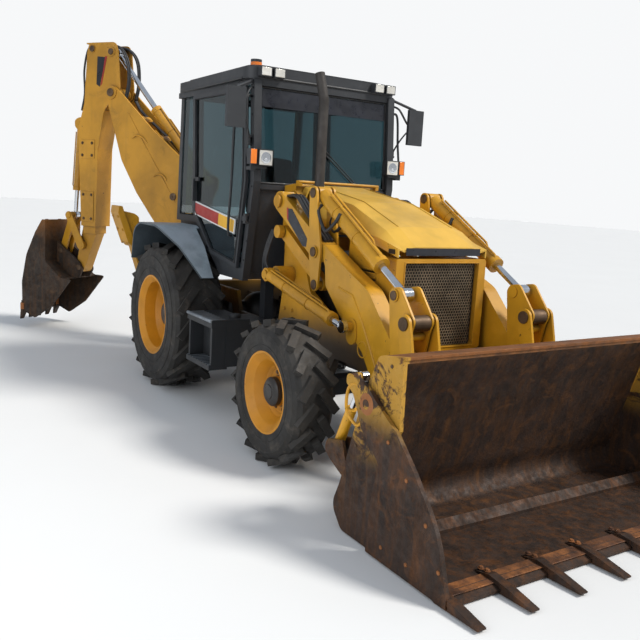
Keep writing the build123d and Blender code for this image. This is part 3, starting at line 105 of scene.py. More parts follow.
class Shape:
    """Collects forms in one mesh, in metres, in the shared frame."""

    def __init__(self, name):
        self.name = name
        self.bm = bmesh.new()

    def prism(self, points, depth):
        """A flat outline pushed along the vector depth."""
        low = [self.bm.verts.new(p) for p in points]
        high = [self.bm.verts.new(Vector(p) + depth) for p in points]
        self.bm.faces.new(low)
        self.bm.faces.new(high[::-1])
        for i in range(len(points)):
            j = (i + 1) % len(points)
            self.bm.faces.new((low[j], low[i], high[i], high[j]))

    def block(self, x0, x1, y0, y1, z0, z1, place=at):
        base = [place(x0, y0, z0), place(x1, y0, z0), place(x1, y1, z0), place(x0, y1, z0)]
        self.prism(base, Vector((0, 0, (z1 - z0) / 1000)))

    def plate(self, outline, y0, y1, place=at):
        """A side outline of (x, z) from y0 to y1."""
        self.prism([place(x, y0, z) for x, z in outline], place(0, y1, 0) - place(0, y0, 0))

    def turn(self, profile, origin, axis, parts=32):
        """A solid of revolution: profile is (mm along the axis, radius in mm)."""
        axis = Vector(axis).normalized()
        side = axis.orthogonal().normalized()
        other = axis.cross(side)
        rings = []
        for a, r in profile:
            ring = []
            for i in range(parts):
                t = 2 * math.pi * i / parts
                spoke = side * math.cos(t) + other * math.sin(t)
                ring.append(self.bm.verts.new(origin + axis * (a / 1000) + spoke * (r / 1000)))
            rings.append(ring)
        for low, high in zip(rings, rings[1:]):
            for i in range(parts):
                j = (i + 1) % parts
                self.bm.faces.new((low[i], low[j], high[j], high[i]))
        self.bm.faces.new(rings[0][::-1])
        self.bm.faces.new(rings[-1])

    def ring(self, origin, axis, radius, wire, parts=40, sides=8):
        """A round ring of wire."""
        axis = Vector(axis).normalized()
        side = axis.orthogonal().normalized()
        other = axis.cross(side)
        points = []
        for i in range(parts):
            t = 2 * math.pi * i / parts
            points.append(origin + (side * math.cos(t) + other * math.sin(t)) * (radius / 1000))
        self.tube(points, wire, sides, closed=True)

    def tube(self, points, radius, sides=10, closed=False):
        """A round bar of that radius in mm along points."""
        n = len(points)
        up = None
        rings = []
        for i, p in enumerate(points):
            before = points[i - 1] if closed or i else p
            after = points[(i + 1) % n] if closed or i < n - 1 else p
            d = (Vector(after) - Vector(before)).normalized()
            up = d.orthogonal() if up is None else up - d * up.dot(d)
            up.normalize()
            other = d.cross(up)
            rings.append([
                self.bm.verts.new(Vector(p) + (up * math.cos(a) + other * math.sin(a)) * (radius / 1000))
                for a in (2 * math.pi * k / sides for k in range(sides))
            ])
        for i in range(n if closed else n - 1):
            low, high = rings[i], rings[(i + 1) % n]
            for k in range(sides):
                j = (k + 1) % sides
                self.bm.faces.new((low[k], low[j], high[j], high[k]))
        if not closed:
            self.bm.faces.new(rings[0][::-1])
            self.bm.faces.new(rings[-1])

    def hose(self, points, radius, steps=8):
        """A smooth hose through points: a Catmull-Rom curve."""
        p = [Vector(q) for q in points]
        p = [p[0] * 2 - p[1]] + p + [p[-1] * 2 - p[-2]]
        line = []
        for i in range(1, len(p) - 2):
            a, b, c, d = p[i - 1:i + 3]
            for k in range(steps):
                t = k / steps
                line.append(0.5 * (2 * b + (c - a) * t + (2 * a - 5 * b + 4 * c - d) * t * t
                                   + (3 * b - a - 3 * c + d) * t ** 3))
        line.append(p[-2])
        self.tube(line, radius)

    def bolt(self, origin, axis, size=12, washer=True):
        """A blank hexagon head of that half width in mm, standing on a face."""
        if washer:
            self.turn([(0, size * 1.45), (size * 0.18, size * 1.45)], origin, axis, 20)
        self.turn([(0, size), (size * 0.75, size), (size * 0.95, size * 0.82)], origin, axis, 6)

    def build(self, finish, sharp=SHARP):
        """Turns the mesh into an object, smooth but for edges that bend by more than the angle sharp."""
        bmesh.ops.recalc_face_normals(self.bm, faces=self.bm.faces)
        for f in self.bm.faces:
            f.smooth = True
        for e in self.bm.edges:
            if len(e.link_faces) == 2 and e.calc_face_angle(0) > sharp:
                e.smooth = False
        return put_in_scene(self.name, self.bm, finish)

    def make(self, body, finish, bevel=0.0):
        """Turns the mesh into a piece that rides on a body, its edges bevelled by that many mm."""
        piece = self.build(finish)
        if bevel:
            mod = piece.modifiers.new("edges", "BEVEL")
            mod.width = bevel / 1000
            mod.segments = 2
            mod.limit_method = "ANGLE"
            mod.angle_limit = SHARP
        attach(piece, body)
        return piece


# ---------------------------------------------------------------- finishes
class Finish:
    """A procedural material, built up from noises in the shared frame's metres."""

    def __init__(self, name):
        self.mat = bpy.data.materials.new(name)
        self.mat.use_nodes = True
        self.tree = self.mat.node_tree
        self.shader = self.tree.nodes["Principled BSDF"]
        self.coord = self.tree.nodes.new("ShaderNodeTexCoord").outputs["Object"]

    def node(self, kind, **inputs):
        n = self.tree.nodes.new(kind)
        for key, value in inputs.items():
            socket = n.inputs[key]
            if isinstance(value, bpy.types.NodeSocket):
                self.tree.links.new(value, socket)
            else:
                socket.default_value = value
        return n

    def noise(self, scale, detail=6.0, rough=0.6, stretch=None, distort=0.0):
        coord = self.coord
        if stretch:
            scaled = self.node("ShaderNodeMapping", Vector=coord)
            scaled.inputs["Scale"].default_value = stretch
            coord = scaled.outputs[0]
        n = self.node("ShaderNodeTexNoise", Vector=coord, Scale=scale, Detail=detail, Roughness=rough,
                      Distortion=distort)
        return n.outputs["Fac"]

    def step(self, value, low, high, a=0.0, b=1.0):
        n = self.node("ShaderNodeMapRange", Value=value)
        n.interpolation_type = "SMOOTHSTEP"
        for key, v in (("From Min", low), ("From Max", high), ("To Min", a), ("To Max", b)):
            n.inputs[key].default_value = v
        return n.outputs["Result"]

    def math(self, kind, a, b):
        n = self.tree.nodes.new("ShaderNodeMath")
        n.operation = kind
        for i, v in enumerate((a, b)):
            if isinstance(v, bpy.types.NodeSocket):
                self.tree.links.new(v, n.inputs[i])
            else:
                n.inputs[i].default_value = v
        return n.outputs[0]

    def mix(self, share, a, b):
        n = self.tree.nodes.new("ShaderNodeMix")
        n.data_type = "RGBA"
        for socket, v in ((n.inputs[0], share), (n.inputs[6], a), (n.inputs[7], b)):
            if isinstance(v, bpy.types.NodeSocket):
                self.tree.links.new(v, socket)
            else:
                socket.default_value = v if isinstance(v, float) else (*v[:3], 1)
        return n.outputs[2]

    def height(self):
        return self.node("ShaderNodeSeparateXYZ", Vector=self.coord).outputs["Z"]

    def across(self):
        """Metres to the left of the machine's centre."""
        y = self.node("ShaderNodeSeparateXYZ", Vector=self.coord).outputs["Y"]
        return self.math("SUBTRACT", y, REAR_AXLE.y)

    def upward(self):
        """How much a face looks up."""
        normal = self.tree.nodes.new("ShaderNodeNewGeometry").outputs["Normal"]
        return self.node("ShaderNodeSeparateXYZ", Vector=normal).outputs["Z"]

    def shade_occlusion(self, reach):
        """Ambient occlusion, the mask of painted shade: 1 in the open and 0 in a corner."""
        n = self.node("ShaderNodeAmbientOcclusion", Distance=reach)
        n.samples = 6
        return n.outputs["AO"]

    def set(self, **inputs):
        for key, value in inputs.items():
            socket = self.shader.inputs[key.replace("_", " ")]
            if isinstance(value, bpy.types.NodeSocket):
                self.tree.links.new(value, socket)
            else:
                socket.default_value = value if not isinstance(value, tuple) else (*value[:3], 1)
        return self

    def bump(self, height, strength, distance=0.002):
        n = self.node("ShaderNodeBump", Height=height, Strength=strength, Distance=distance)
        self.tree.links.new(n.outputs[0], self.shader.inputs["Normal"])
        return self


def paint(name, colour, grime_and_corner_shade=0.5, gloss=0.34, chips=0.5, low=None, base=(0.03, 0.026, 0.022)):
    """Worn machine paint: uneven colour, dust, run marks, painted shade in corners and small chips down to
    rust.
    """
    f = Finish(name)
    dark = tuple(c * 0.66 for c in colour)
    pale = tuple(min(1, c * 1.05 + 0.035) for c in colour)
    tone = f.mix(f.step(f.noise(1.7, 4), 0.3, 0.7), dark, colour)
    tone = f.mix(f.step(f.noise(5.5, 8, 0.7), 0.52, 0.8, 0, 0.55), tone, pale)
    runs = f.step(f.noise(1.0, 7, 0.65, (9, 9, 0.9)), 0.5, 0.78, 0, 0.55 * grime_and_corner_shade)
    tone = f.mix(runs, tone, tuple(c * 0.32 + 0.01 for c in colour))
    blotch = f.step(f.noise(3.2, 12, 0.72, distort=0.6), 0.56, 0.74, 0, 0.9 * grime_and_corner_shade)
    tone = f.mix(blotch, tone, tuple(c * 0.25 + 0.012 for c in colour))
    # painted shade: the colour darkens towards base in corners and creases, by ambient occlusion
    corner = f.step(f.shade_occlusion(0.09), 0.25, 0.8, 0.95 * min(1, grime_and_corner_shade + 0.25), 0)
    tone = f.mix(corner, tone, base)
    # painted shade low down: below the heights in low, in metres, the colour darkens to base
    if low:
        tone = f.mix(f.step(f.height(), low[0], low[1], 0.9, 0), tone, base)
    chip = f.step(f.noise(34, 5, 0.6, distort=0.4), 0.69 - 0.05 * chips, 0.72 - 0.05 * chips)
    chip = f.math("MULTIPLY", chip, f.step(f.noise(2.6, 3), 0.48, 0.6))
    tone = f.mix(chip, tone, (0.055, 0.02, 0.009))
    worn = f.math("ADD", f.math("MULTIPLY", blotch, 0.35), f.math("MULTIPLY", f.noise(12, 6), 0.22))
    rough = f.math("ADD", worn, gloss)
    f.set(Base_Color=tone, Roughness=rough)
    peel, waves = f.math("MULTIPLY", f.noise(160, 3), 0.12), f.math("MULTIPLY", f.noise(2.4, 2), 3.0)
    f.bump(f.math("ADD", peel, waves), 0.35)
    return f.mat


def rusty(name, bare, orange, top, side=None):
    """Steel that earth has worn bare and damp has rusted, most of all along its upper edge."""
    f = Finish(name)
    lighter = tuple(c * 2.4 + 0.006 for c in bare)
    tone = f.mix(f.step(f.noise(4.0, 10, 0.7, distort=0.4), 0.36, 0.7), bare, lighter)
    streak = f.step(f.noise(1.0, 9, 0.7, (16, 16, 1.1)), 0.42, 0.72)
    tone = f.mix(f.math("MULTIPLY", streak, 0.75), tone, tuple(c * 0.45 for c in orange))
    patch = f.step(f.noise(7.5, 12, 0.75, distort=0.9), 0.5, 0.66)
    ragged = 0.34                   # metres by which the rusted edge wanders
    level = f.math("ADD", f.height(), f.math("MULTIPLY", f.noise(9, 6), ragged))
    edge = f.step(level, top[0] + ragged / 2, top[1] + ragged / 2)
    tone = f.mix(f.math("MAXIMUM", f.math("MULTIPLY", patch, 0.32), edge), tone, orange)
    flake = f.step(f.noise(48, 8, 0.7), 0.55, 0.66, 0, 0.6)
    tone = f.mix(flake, tone, tuple(c * 0.3 for c in orange))
    if side:
        left = f.step(f.noise(6.0, 10, 0.72, distort=0.8), side[0], side[0] + 0.07)
        left = f.math("MULTIPLY", left, f.step(f.height(), side[1], side[1] + 0.25))
        left = f.math("MULTIPLY", left, f.step(f.math("ABSOLUTE", f.across(), 0.0), 1.13, 1.14))
        tone = f.mix(left, tone, side[2])
    f.set(Base_Color=tone, Roughness=f.step(f.noise(20, 8), 0.3, 0.7, 0.55, 0.85), Metallic=0.25)
    f.bump(f.math("ADD", f.noise(70, 10, 0.7), f.math("MULTIPLY", f.noise(9, 5), 2.0)), 0.5, 0.004)
    return f.mat


def rubber(name):
    f = Finish(name)
    tone = f.mix(f.step(f.noise(3.5, 8), 0.35, 0.7), (0.011, 0.010, 0.009), (0.03, 0.027, 0.023))
    dust = f.step(f.noise(9, 10, 0.7, distort=0.5), 0.5, 0.72, 0, 0.75)
    tone = f.mix(dust, tone, (0.085, 0.07, 0.055))
    tone = f.mix(f.step(f.upward(), 0.3, 1.0, 0, 0.35), tone, (0.11, 0.095, 0.08))
    f.set(Base_Color=tone, Roughness=f.step(f.noise(14, 5), 0.3, 0.7, 0.6, 0.85))
    f.bump(f.math("ADD", f.noise(60, 8, 0.7), f.math("MULTIPLY", f.noise(12, 4), 1.5)), 0.45, 0.003)
    return f.mat


def plain(name, colour, rough=0.5, metal=0.0, spread=1.8, grain=90, **more):
    """Plastic, rubber, casting or bright metal with an uneven tone and a fine grain."""
    f = Finish(name)
    tone = f.mix(f.step(f.noise(6, 8), 0.35, 0.7), colour, tuple(min(1, c * spread) for c in colour))
    uneven = f.step(f.noise(18, 5), 0.3, 0.7, rough * 0.8, min(1, rough * 1.25))
    f.set(Base_Color=tone, Roughness=uneven, Metallic=metal)
    f.set(**more)
    f.bump(f.noise(grain, 5), 0.2, 0.0012)
    return f.mat


def wing_with_highlight(name):
    """Grey-blue plastic of the wings, dark below and pale on top with a painted highlight in patches."""
    f = Finish(name)
    tone = f.mix(f.step(f.noise(2.5, 7), 0.35, 0.65), (0.035, 0.046, 0.055), (0.07, 0.09, 0.105))
    patches = f.step(f.noise(4.5, 9, 0.65), 0.3, 0.6, 0.65, 1.0)
    # painted highlight: faces that look up turn pale blue-grey, in patches
    painted_highlight = f.math("MULTIPLY", f.step(f.upward(), -0.05, 0.55), patches)
    tone = f.mix(painted_highlight, tone, (0.37, 0.44, 0.49))
    f.set(Base_Color=tone, Roughness=0.5)
    f.bump(f.noise(120, 5), 0.2, 0.001)
    return f.mat


def glass(name, tint):
    """Tinted safety glass with a little dust."""
    f = Finish(name)
    dust = f.step(f.noise(5, 9, 0.7, (1, 1, 0.4)), 0.45, 0.8, 0.0, 0.14)
    tone = f.mix(dust, tint, tuple(c * 0.8 for c in tint))
    f.set(Base_Color=tone, Roughness=dust, Transmission_Weight=1.0, IOR=1.45)
    return f.mat


YELLOW = (0.70, 0.335, 0.012)
# the finishes, by the short names that the pieces ask for
M = {
    "yellow": paint("machine_yellow", YELLOW, 0.42),
    "hood": paint("hood_yellow", (0.80, 0.47, 0.06), 0.12, 0.28, 0.2),
    "arm": paint("arm_yellow", (0.74, 0.365, 0.015), 0.3, 0.32),
    "hoe": paint("hoe_yellow", (0.66, 0.315, 0.02), 0.5, 0.38),
    # the frame darkens below 0.72 to 1.0 m: painted shade under the cab
    "frame": paint("frame_paint", YELLOW, 0.6, 0.42, 0.6, low=(0.72, 1.0)),
    "rim": paint("rim_yellow", (0.66, 0.27, 0.006), 0.45, 0.4, 0.4),
    # base, here and below, is the colour of the painted shade in corners
    "black": paint("black_paint", (0.022, 0.024, 0.027), 0.3, 0.4, 0.2, base=(0.012, 0.012, 0.012)),
    "cab": paint("cab_charcoal", (0.034, 0.037, 0.042), 0.2, 0.36, 0.15, base=(0.014, 0.014, 0.015)),
    "wing": wing_with_highlight("wing_plastic"),
    "rubber": rubber("tyre_rubber"),
    "hose": plain("hose_rubber", (0.018, 0.018, 0.019), 0.5, grain=260),
    "seal": plain("seal_rubber", (0.012, 0.012, 0.013), 0.55),
    "chrome": plain("rod_chrome", (0.62, 0.64, 0.67), 0.14, 1.0, 1.2),
    "pin": plain("pin_steel", (0.10, 0.065, 0.04), 0.55, 0.7),
    "grease": plain("dark_grease", (0.014, 0.012, 0.011), 0.42),
    "bucket": rusty("bucket_steel", (0.020, 0.011, 0.007), (0.24, 0.085, 0.018), (0.93, 1.10),
                    side=(0.44, 0.60, (0.50, 0.27, 0.035))),
    "cheek": rusty("cheek_steel", (0.022, 0.012, 0.008), (0.26, 0.10, 0.022), (0.95, 1.12),
                   side=(0.42, 0.42, (0.50, 0.27, 0.035))),
    "digger": rusty("digger_steel", (0.020, 0.014, 0.010), (0.20, 0.085, 0.022), (1.05, 1.35)),
    "tooth": rusty("tooth_steel", (0.05, 0.022, 0.012), (0.34, 0.13, 0.04), (0.02, 0.12)),
    "stack": plain("stack_steel", (0.034, 0.030, 0.027), 0.6, 0.3),
    "glass": glass("cab_glass_tint", (0.20, 0.32, 0.35)),
    "lens": plain("lamp_lens", (0.72, 0.70, 0.64), 0.12, 0.3, 1.3, Coat_Weight=1.0),
    "amber": plain("amber_lens", (0.85, 0.20, 0.01), 0.2, 0.0, 1.2, Coat_Weight=0.7),
    "decal": plain("blank_dark_decal", (0.010, 0.011, 0.016), 0.32),
    "red": plain("red_panel", (0.33, 0.018, 0.014), 0.4, spread=1.3),
    "sign_yellow": plain("yellow_panel", (0.78, 0.42, 0.02), 0.4, spread=1.1),
    "white": plain("white_edge", (0.72, 0.72, 0.70), 0.5, spread=1.1),
    "grille": plain("grille_mesh", (0.15, 0.115, 0.075), 0.5, 0.3, 1.7),
    "core": plain("radiator_core", (0.014, 0.012, 0.010), 0.7),
    "tread": plain("step_alloy", (0.20, 0.22, 0.24), 0.45, 0.6),
    "seat": plain("seat_cloth", (0.020, 0.021, 0.024), 0.9, grain=500, Sheen_Weight=0.3),
    "trim": plain("cab_trim", (0.030, 0.031, 0.034), 0.7),
}

FINISH_OF = {
    "yellow": ("body_panels", "levelling_links", "lift_barrels", "stabiliser_left", "stabiliser_right",
               "swing_post", "stabiliser_barrel_left", "stabiliser_barrel_right", "idler", "power_link"),
    "arm": ("loader_arms", "levelling_levers", "tilt_levers", "tilt_links", "tilt_barrels", "clam_barrels"),
    "hoe": ("boom", "boom_barrel", "stick", "stick_barrel", "inner_stick", "bucket_barrel"),
    "hood": ("hood",),
    "frame": ("main_frame",),
    "black": ("axles", "knuckle_left", "knuckle_right", "side_tanks"),
    "cab": ("cab_frame", "cab_roof", "door_left", "door_right", "lamps"),
    "wing": ("fenders",),
    "glass": ("cab_glass",),
    "core": ("grille",),
    "stack": ("engine",),
    "bucket": ("clam",),
    "cheek": ("bucket_back",),
    "digger": ("hoe_bucket",),
    "pin": ("hinge_pins", "lever_pins", "link_pins"),
    "chrome": ("lift_rods", "tilt_rods", "clam_rods", "stabiliser_rod_left", "stabiliser_rod_right",
               "boom_rod", "stick_rod", "bucket_rod"),
    "trim": ("cab_interior",),
    "rubber": tuple(f"tyre_{a}_{b}" for a in ("front", "rear") for b in ("left", "right")),
    "rim": tuple(f"rim_{a}_{b}" for a in ("front", "rear") for b in ("left", "right")),
}


def dress_nodes():
    for key, names in FINISH_OF.items():
        for name in names:
            piece = NODES[name]
            piece.data.materials.clear()
            piece.data.materials.append(M[key])
            for face in piece.data.polygons:
                face.material_index = 0


# ---------------------------------------------------------------- wheels
def wheels():
    # radius and depth of the hub cover, then half width, rim radius and tyre radius, all in mm
    sizes = {"front": (96, 100, 150, 250, 495), "rear": (118, 96, 235, 330, 657)}
    bolts = 8
    for end, (r, depth, w, rim_r, tyre_r) in sizes.items():
        for s, side in NAMED_SIDES:
            body = f"{end}_wheel_{side}"
            c = middle(f"rim_{end}_{side}")
            out = Vector((0, s, 0))
            hub = Shape(f"hub_cover_{end}_{side}")
            hub.turn([(10, r + 12), (16, r + 12), (20, r + 4), (depth - 18, r + 3), (depth + 1, r - 20),
                      (depth + 2, r - 44), (depth + 8, r - 46), (depth + 8, 20)], c, out, 40)
            hub.make(body, M["grease"], 2)
            nuts = Shape(f"wheel_nuts_{end}_{side}")
            for i in range(bolts):
                a = 2 * math.pi * (i + 0.5) / bolts
                spoke = Vector((math.cos(a), 0, math.sin(a))) * ((r + 34) / 1000)
                nuts.bolt(c + spoke + out * 0.0095, out, 12)
            nuts.make(body, M["pin"])
            rings = Shape(f"sidewall_rings_{end}_{side}")
            for share in (0.30, 0.62):
                radius = rim_r + (tyre_r - rim_r) * share
                rings.ring(c + out * ((w - 2) / 1000), out, radius, 5, 72, 6)
            rings.make(body, M["rubber"])


# ---------------------------------------------------------------- cab
def door_panes():
    hole = [(-6, 2606), (951, 2606), (1011, 1900), (909, 1229), (436, 1294), (66, 1616)]
    for s, side in NAMED_SIDES:
        body = f"door_{side}_body"
        pane = Shape(f"door_pane_{side}")
        pane.plate(hole, s * 706, s * 711)
        pane.make(body, M["glass"])
        seal = Shape(f"door_seal_{side}")
        seal.tube([at(x, s * 724, z) for x, z in hole], 7, 6, closed=True)
        seal.make(body, M["seal"])
        handle = Shape(f"door_handle_{side}")
        handle.block(30, 150, s * 722, s * 740, 1880, 1915)
        handle.hose(route(((905, 724, 2440), (895, 760, 2400), (880, 762, 1900), (850, 762, 1500),
                           (836, 724, 1440)), s), 11)
        handle.make(body, M["black"], 2)
    # blank two-colour panel on the right door, in a white border
    board = [(60, 1700), (900, 1583), (882, 1462), (60, 1579)]
    edge = Shape("door_panel_edge")
    edge.plate(board, -714, -725)
    edge.make("door_right_body", M["white"], 1)
    share = 0.62
    top = (60 + 840 * share, 1700 - 117 * share)
    low = (60 + 822 * share, 1579 - 117 * share)
    red = Shape("door_panel_red")
    red.plate([(72, 1687), (top[0], top[1] - 12), (low[0], low[1] + 12), (72, 1590)], -716, -727)
    red.make("door_right_body", M["red"])
    yellow = Shape("door_panel_yellow")
    yellow.plate([(top[0], top[1] - 12), (886, 1573), (870, 1476), (low[0], low[1] + 12)], -716, -727)
    yellow.make("door_right_body", M["sign_yellow"])


def cab_trim():
    seal = Shape("windscreen_seal")
    for y in (-617, 617):
        seal.tube([at(1094, y, 1890), at(1040, y, 2644)], 9, 8)
    seal.tube([at(1094, -617, 1890), at(1094, 617, 1890)], 9, 8)
    seal.tube([at(1040, -617, 2642), at(1040, 617, 2642)], 9, 8)
    seal.make("chassis", M["seal"])
    band = Shape("windscreen_sunband")
    band.prism([at(1043, -605, 2630), at(1043, 605, 2630), at(1055, 605, 2490), at(1055, -605, 2490)],
               Vector((0.002, 0, 0)))
    band.make("chassis", M["decal"])
    gutter = Shape("roof_gutter")
    for s in SIDES:
        gutter.tube([at(-430, s * 690, 2706), at(940, s * 728, 2706)], 10, 8)
    gutter.tube([at(1062, -600, 2716), at(1062, 600, 2716)], 10, 8)
    gutter.make("chassis", M["black"])
    ribs = Shape("roof_ribs")
    for y in (-420, -210, 0, 210, 420):
        ribs.block(-380, 860, y - 22, y + 22, 2821, 2829)
    ribs.make("chassis", M["cab"], 4)
    wiper = Shape("front_wiper")
    wiper.tube([at(1112, 300, 1905), at(1082, -60, 2200)], 6)
    wiper.tube([at(1116, 330, 1905), at(1086, -30, 2205)], 5)
    wiper.tube([at(1066, -52, 2420), at(1108, -30, 1960)], 8, 6)
    wiper.bolt(at(1096, 310, 1900), (1, 0, 0.1), 15)
    wiper.make("chassis", M["seal"])
    handle = Shape("front_grab_rails")
    for s in SIDES:
        handle.hose(route(((1040, 692, 2560), (1062, 742, 2540), (1090, 748, 2300), (1120, 748, 2100),
                           (1112, 700, 2080)), s), 10)
    handle.make("chassis", M["black"])
    lens = Shape("lamp_lenses")
    frame_of = Shape("lamp_frames")
    for s in SIDES:
        for y0, y1 in ((568, 652), (448, 532)):
            lens.block(1120, 1124, s * y0, s * y1, 2722, 2784)
        lens.block(1196, 1202, s * 568, s * 682, 2028, 2142)
        lens.block(-626, -620, s * 468, s * 562, 2722, 2784)
        corners = ((1200, 564, 2024), (1200, 686, 2024), (1200, 686, 2146), (1200, 564, 2146))
        frame_of.tube(route(corners, s), 5, 6, closed=True)
    lens.make("chassis", M["lens"], 3)
    frame_of.make("chassis", M["seal"])
    bulbs = Shape("lamp_bowls")
    for s in SIDES:
        bulbs.turn([(0, 44), (3, 44), (5, 30), (3, 12), (5, 4)], at(1201, s * 625, 2085), (1, 0, 0), 24)
    bulbs.make("chassis", M["chrome"])
    amber = Shape("amber_lamps")
    for s in SIDES:
        amber.block(1190, 1198, s * 704, s * 756, 2034, 2146)
    amber.turn([(0, 50), (70, 50), (84, 46), (98, 34), (103, 12)], at(560, -420, 2830), (0, 0, 1), 32)
    amber.make("chassis", M["amber"], 3)
    mirror = Shape("mirror_faces")
    for s in SIDES:
        mirror.block(1131, 1134, s * 808, s * 952, 2310, 2595)
    mirror.make("chassis", M["chrome"], 2)
    arm = Shape("mirror_arms")
    for s in SIDES:
        arm.hose(route(((1046, 694, 2630), (1090, 740, 2600), (1120, 800, 2500), (1148, 840, 2440)), s), 9)
        arm.hose(route(((1060, 694, 2180), (1096, 740, 2300), (1130, 800, 2400), (1148, 840, 2430)), s), 7)
    arm.make("chassis", M["black"])
    bolts = Shape("post_bolts")
    for s in SIDES:
        for x, z in ((1040, 1260), (1072, 1420), (1104, 1640), (1128, 1860), (1106, 2160), (1080, 2420),
                     (1050, 2620)):
            bolts.bolt(at(x - 24, s * 690, z), (0, s, 0), 7)
    bolts.make("chassis", M["black"])


def seat_form(name, x0, x1, half, z0, z1, lean, crown):
    """A crowned cushion between two planes, its sides drawn in between the corners."""
    bm = bmesh.new()
    bmesh.ops.create_cube(bm, size=2)
    bmesh.ops.subdivide_edges(bm, edges=bm.edges, cuts=7, use_grid_fill=True)
    for v in bm.verts:
        a, b, c = v.co
        swell = (1 - a * a * 0.8) * (1 - b * b * 0.8) * (1 - c * c * 0.2)
        x = (x0 + x1) / 2 + a * (x1 - x0) / 2 * (1 - 0.05 * b * b) + (c + 1) / 2 * lean
        z = (z0 + z1) / 2 + c * (z1 - z0) / 2 * (1 - 0.05 * b * b) + (crown * swell if c > 0.9 else 0)
        v.co = at(x, b * half * (1 - 0.06 * (a * a + c * c) / 2), z)
    for f in bm.faces:
        f.smooth = True
    piece = put_in_scene(name, bm, M["seat"])
    mod = piece.modifiers.new("round", "SUBSURF")
    mod.levels = mod.render_levels = 1
    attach(piece, "chassis")


def interior():
    """The seat, console and steering wheel, in place of their plain solids."""
    seat_form("seat_cushion", 126, 556, 234, 1484, 1580, 0, 10)
    seat_form("seat_back", 64, 168, 228, 1584, 2140, 0, 0)
    base = Shape("cab_fittings")
    base.block(184, 476, -156, 156, 1152, 1480)
    base.block(800, 944, -296, 296, 1152, 1398)
    base.block(562, 638, -58, 58, 1152, 1418)
    for y in (-205, 205):
        base.block(190, 480, y - 32, y + 32, 1590, 1630)
    base.make("chassis", M["trim"], 8)
    wheel = Shape("steering_wheel")
    hub = at(806, 0, 1716)
    lean = (at(800, 0, 1720) - at(900, 0, 1390)).normalized()
    wheel.tube([at(900, 0, 1392), at(803, 0, 1716)], 26, 16)
    wheel.ring(hub, lean, 176, 12)
    for a in (0.5, 2.6, 4.7):
        side = lean.orthogonal().normalized()
        spoke = side * math.cos(a) + lean.cross(side) * math.sin(a)
        wheel.tube([hub, hub + spoke * 0.172], 9)
    wheel.turn([(-6, 40), (8, 40), (14, 30)], hub, lean, 24)
    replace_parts(wheel.make("chassis", M["seal"]), "cab_interior")


# ---------------------------------------------------------------- hood and nose
def nose():
    mesh = Shape("grille_honeycomb")
    pitch, wall, x0, x1 = 23, 3.2, 2621, 2626
    rows = int(580 / (pitch * 0.866))
    for k in range(rows):
        z = 836 + (k + 0.5) * pitch * 0.866
        for i in range(int(640 / pitch)):
            y = -316 + (i + (0.5 if k % 2 else 0.0) + 0.25) * pitch
            outer, inner = [], []
            for j in range(6):
                a = math.radians(30 + 60 * j)
                outer.append((y + pitch / math.sqrt(3) * math.cos(a), z + pitch / math.sqrt(3) * math.sin(a)))
                inner.append((y + (pitch / math.sqrt(3) - wall) * math.cos(a),
                              z + (pitch / math.sqrt(3) - wall) * math.sin(a)))
            front = [mesh.bm.verts.new(at(x1, *p)) for p in outer]
            rim = [mesh.bm.verts.new(at(x1, *p)) for p in inner]
            back = [mesh.bm.verts.new(at(x0, *p)) for p in inner]
            for j in range(6):
                n = (j + 1) % 6
                mesh.bm.faces.new((front[j], front[n], rim[n], rim[j]))
                mesh.bm.faces.new((rim[j], rim[n], back[n], back[j]))
    mesh.make("chassis", M["grille"])
    band = Shape("hood_blank_band")
    for k in range(12):
        y0, y1 = -330 + k * 55, -330 + (k + 1) * 55
        band.prism([at(2652, y0, 1462), at(2652, y1, 1462), at(2652, y1, 1512), at(2652, y0, 1512)],
                   Vector((0.003, 0, 0)))
    band.make("hood_body", M["decal"])
    seam = Shape("hood_seams")
    for s in (-1, 1):
        seam.tube(route(((2440, 243, 1642), (2000, 225, 1793), (1310, 225, 1903)), s), 3, 6)
    seam.make("hood_body", M["hood"])
    louvres = Shape("side_louvres")
    for s in SIDES:
        for k in range(14):
            z = 975 + k * 28
            louvres.block(2236, 2434, s * 399, s * 404, z, z + 8)
    louvres.make("chassis", M["yellow"], 1)
    edge = Shape("nose_edge")
    corners = ((2651, -330, 826), (2651, 330, 826), (2651, 330, 1414), (2651, -330, 1414))
    edge.tube(route(corners), 6, 8, closed=True)
    edge.make("chassis", M["yellow"])
    latch = Shape("hood_latches")
    for s in SIDES:
        latch.block(2560, 2620, s * 396, s * 404, 1470, 1500)
        latch.bolt(at(2300, s * 398, 1560), (0, s, 0), 8)
        latch.bolt(at(1500, s * 394, 1690), (0, s, 0), 8)
    latch.make("hood_body", M["seal"], 2)


# ---------------------------------------------------------------- loader
# pins, in mm ahead of the rear axle and above the ground
TILT_PIN = (1884, 1836)             # tilt cylinder's base on the levelling lever
LINK_PIN = (2899, 1241)             # tilt cylinder's rod eye on the tilt lever
LEVER_PIN = (1944, 1418)            # levelling lever's pivot on the arm
LEVER_FOOT = (1959, 1183)           # its lower pin
TOWER_PIN = (1354, 1757)            # arm's pivot on the tower
LIFT_BASE = (1385, 1187)            # lift cylinder's base
LIFT_END = (2440, 965)              # and its rod eye
LIFT_Y = 652                        # lift cylinder, mm from the machine's centre


def beside(pin, y):
    """The centre of a pin that is given as (x, z), at y."""
    return at(pin[0], y, pin[1])


def tube_pair(shape, start, end, side, up, radius, first, last):
    """Two hydraulic pipes that run beside a barrel, each with a bend into its end."""
    line = (end - start).normalized()
    for k, off in enumerate((-1, 1)):
        shift = side * (off * 0.018) + up
        a, b = start + line * (first / 1000) + shift, start + line * ((last - 150 * k) / 1000) + shift
        shape.tube([a, b, b + line * 0.03 - up * 0.28], radius, 8)


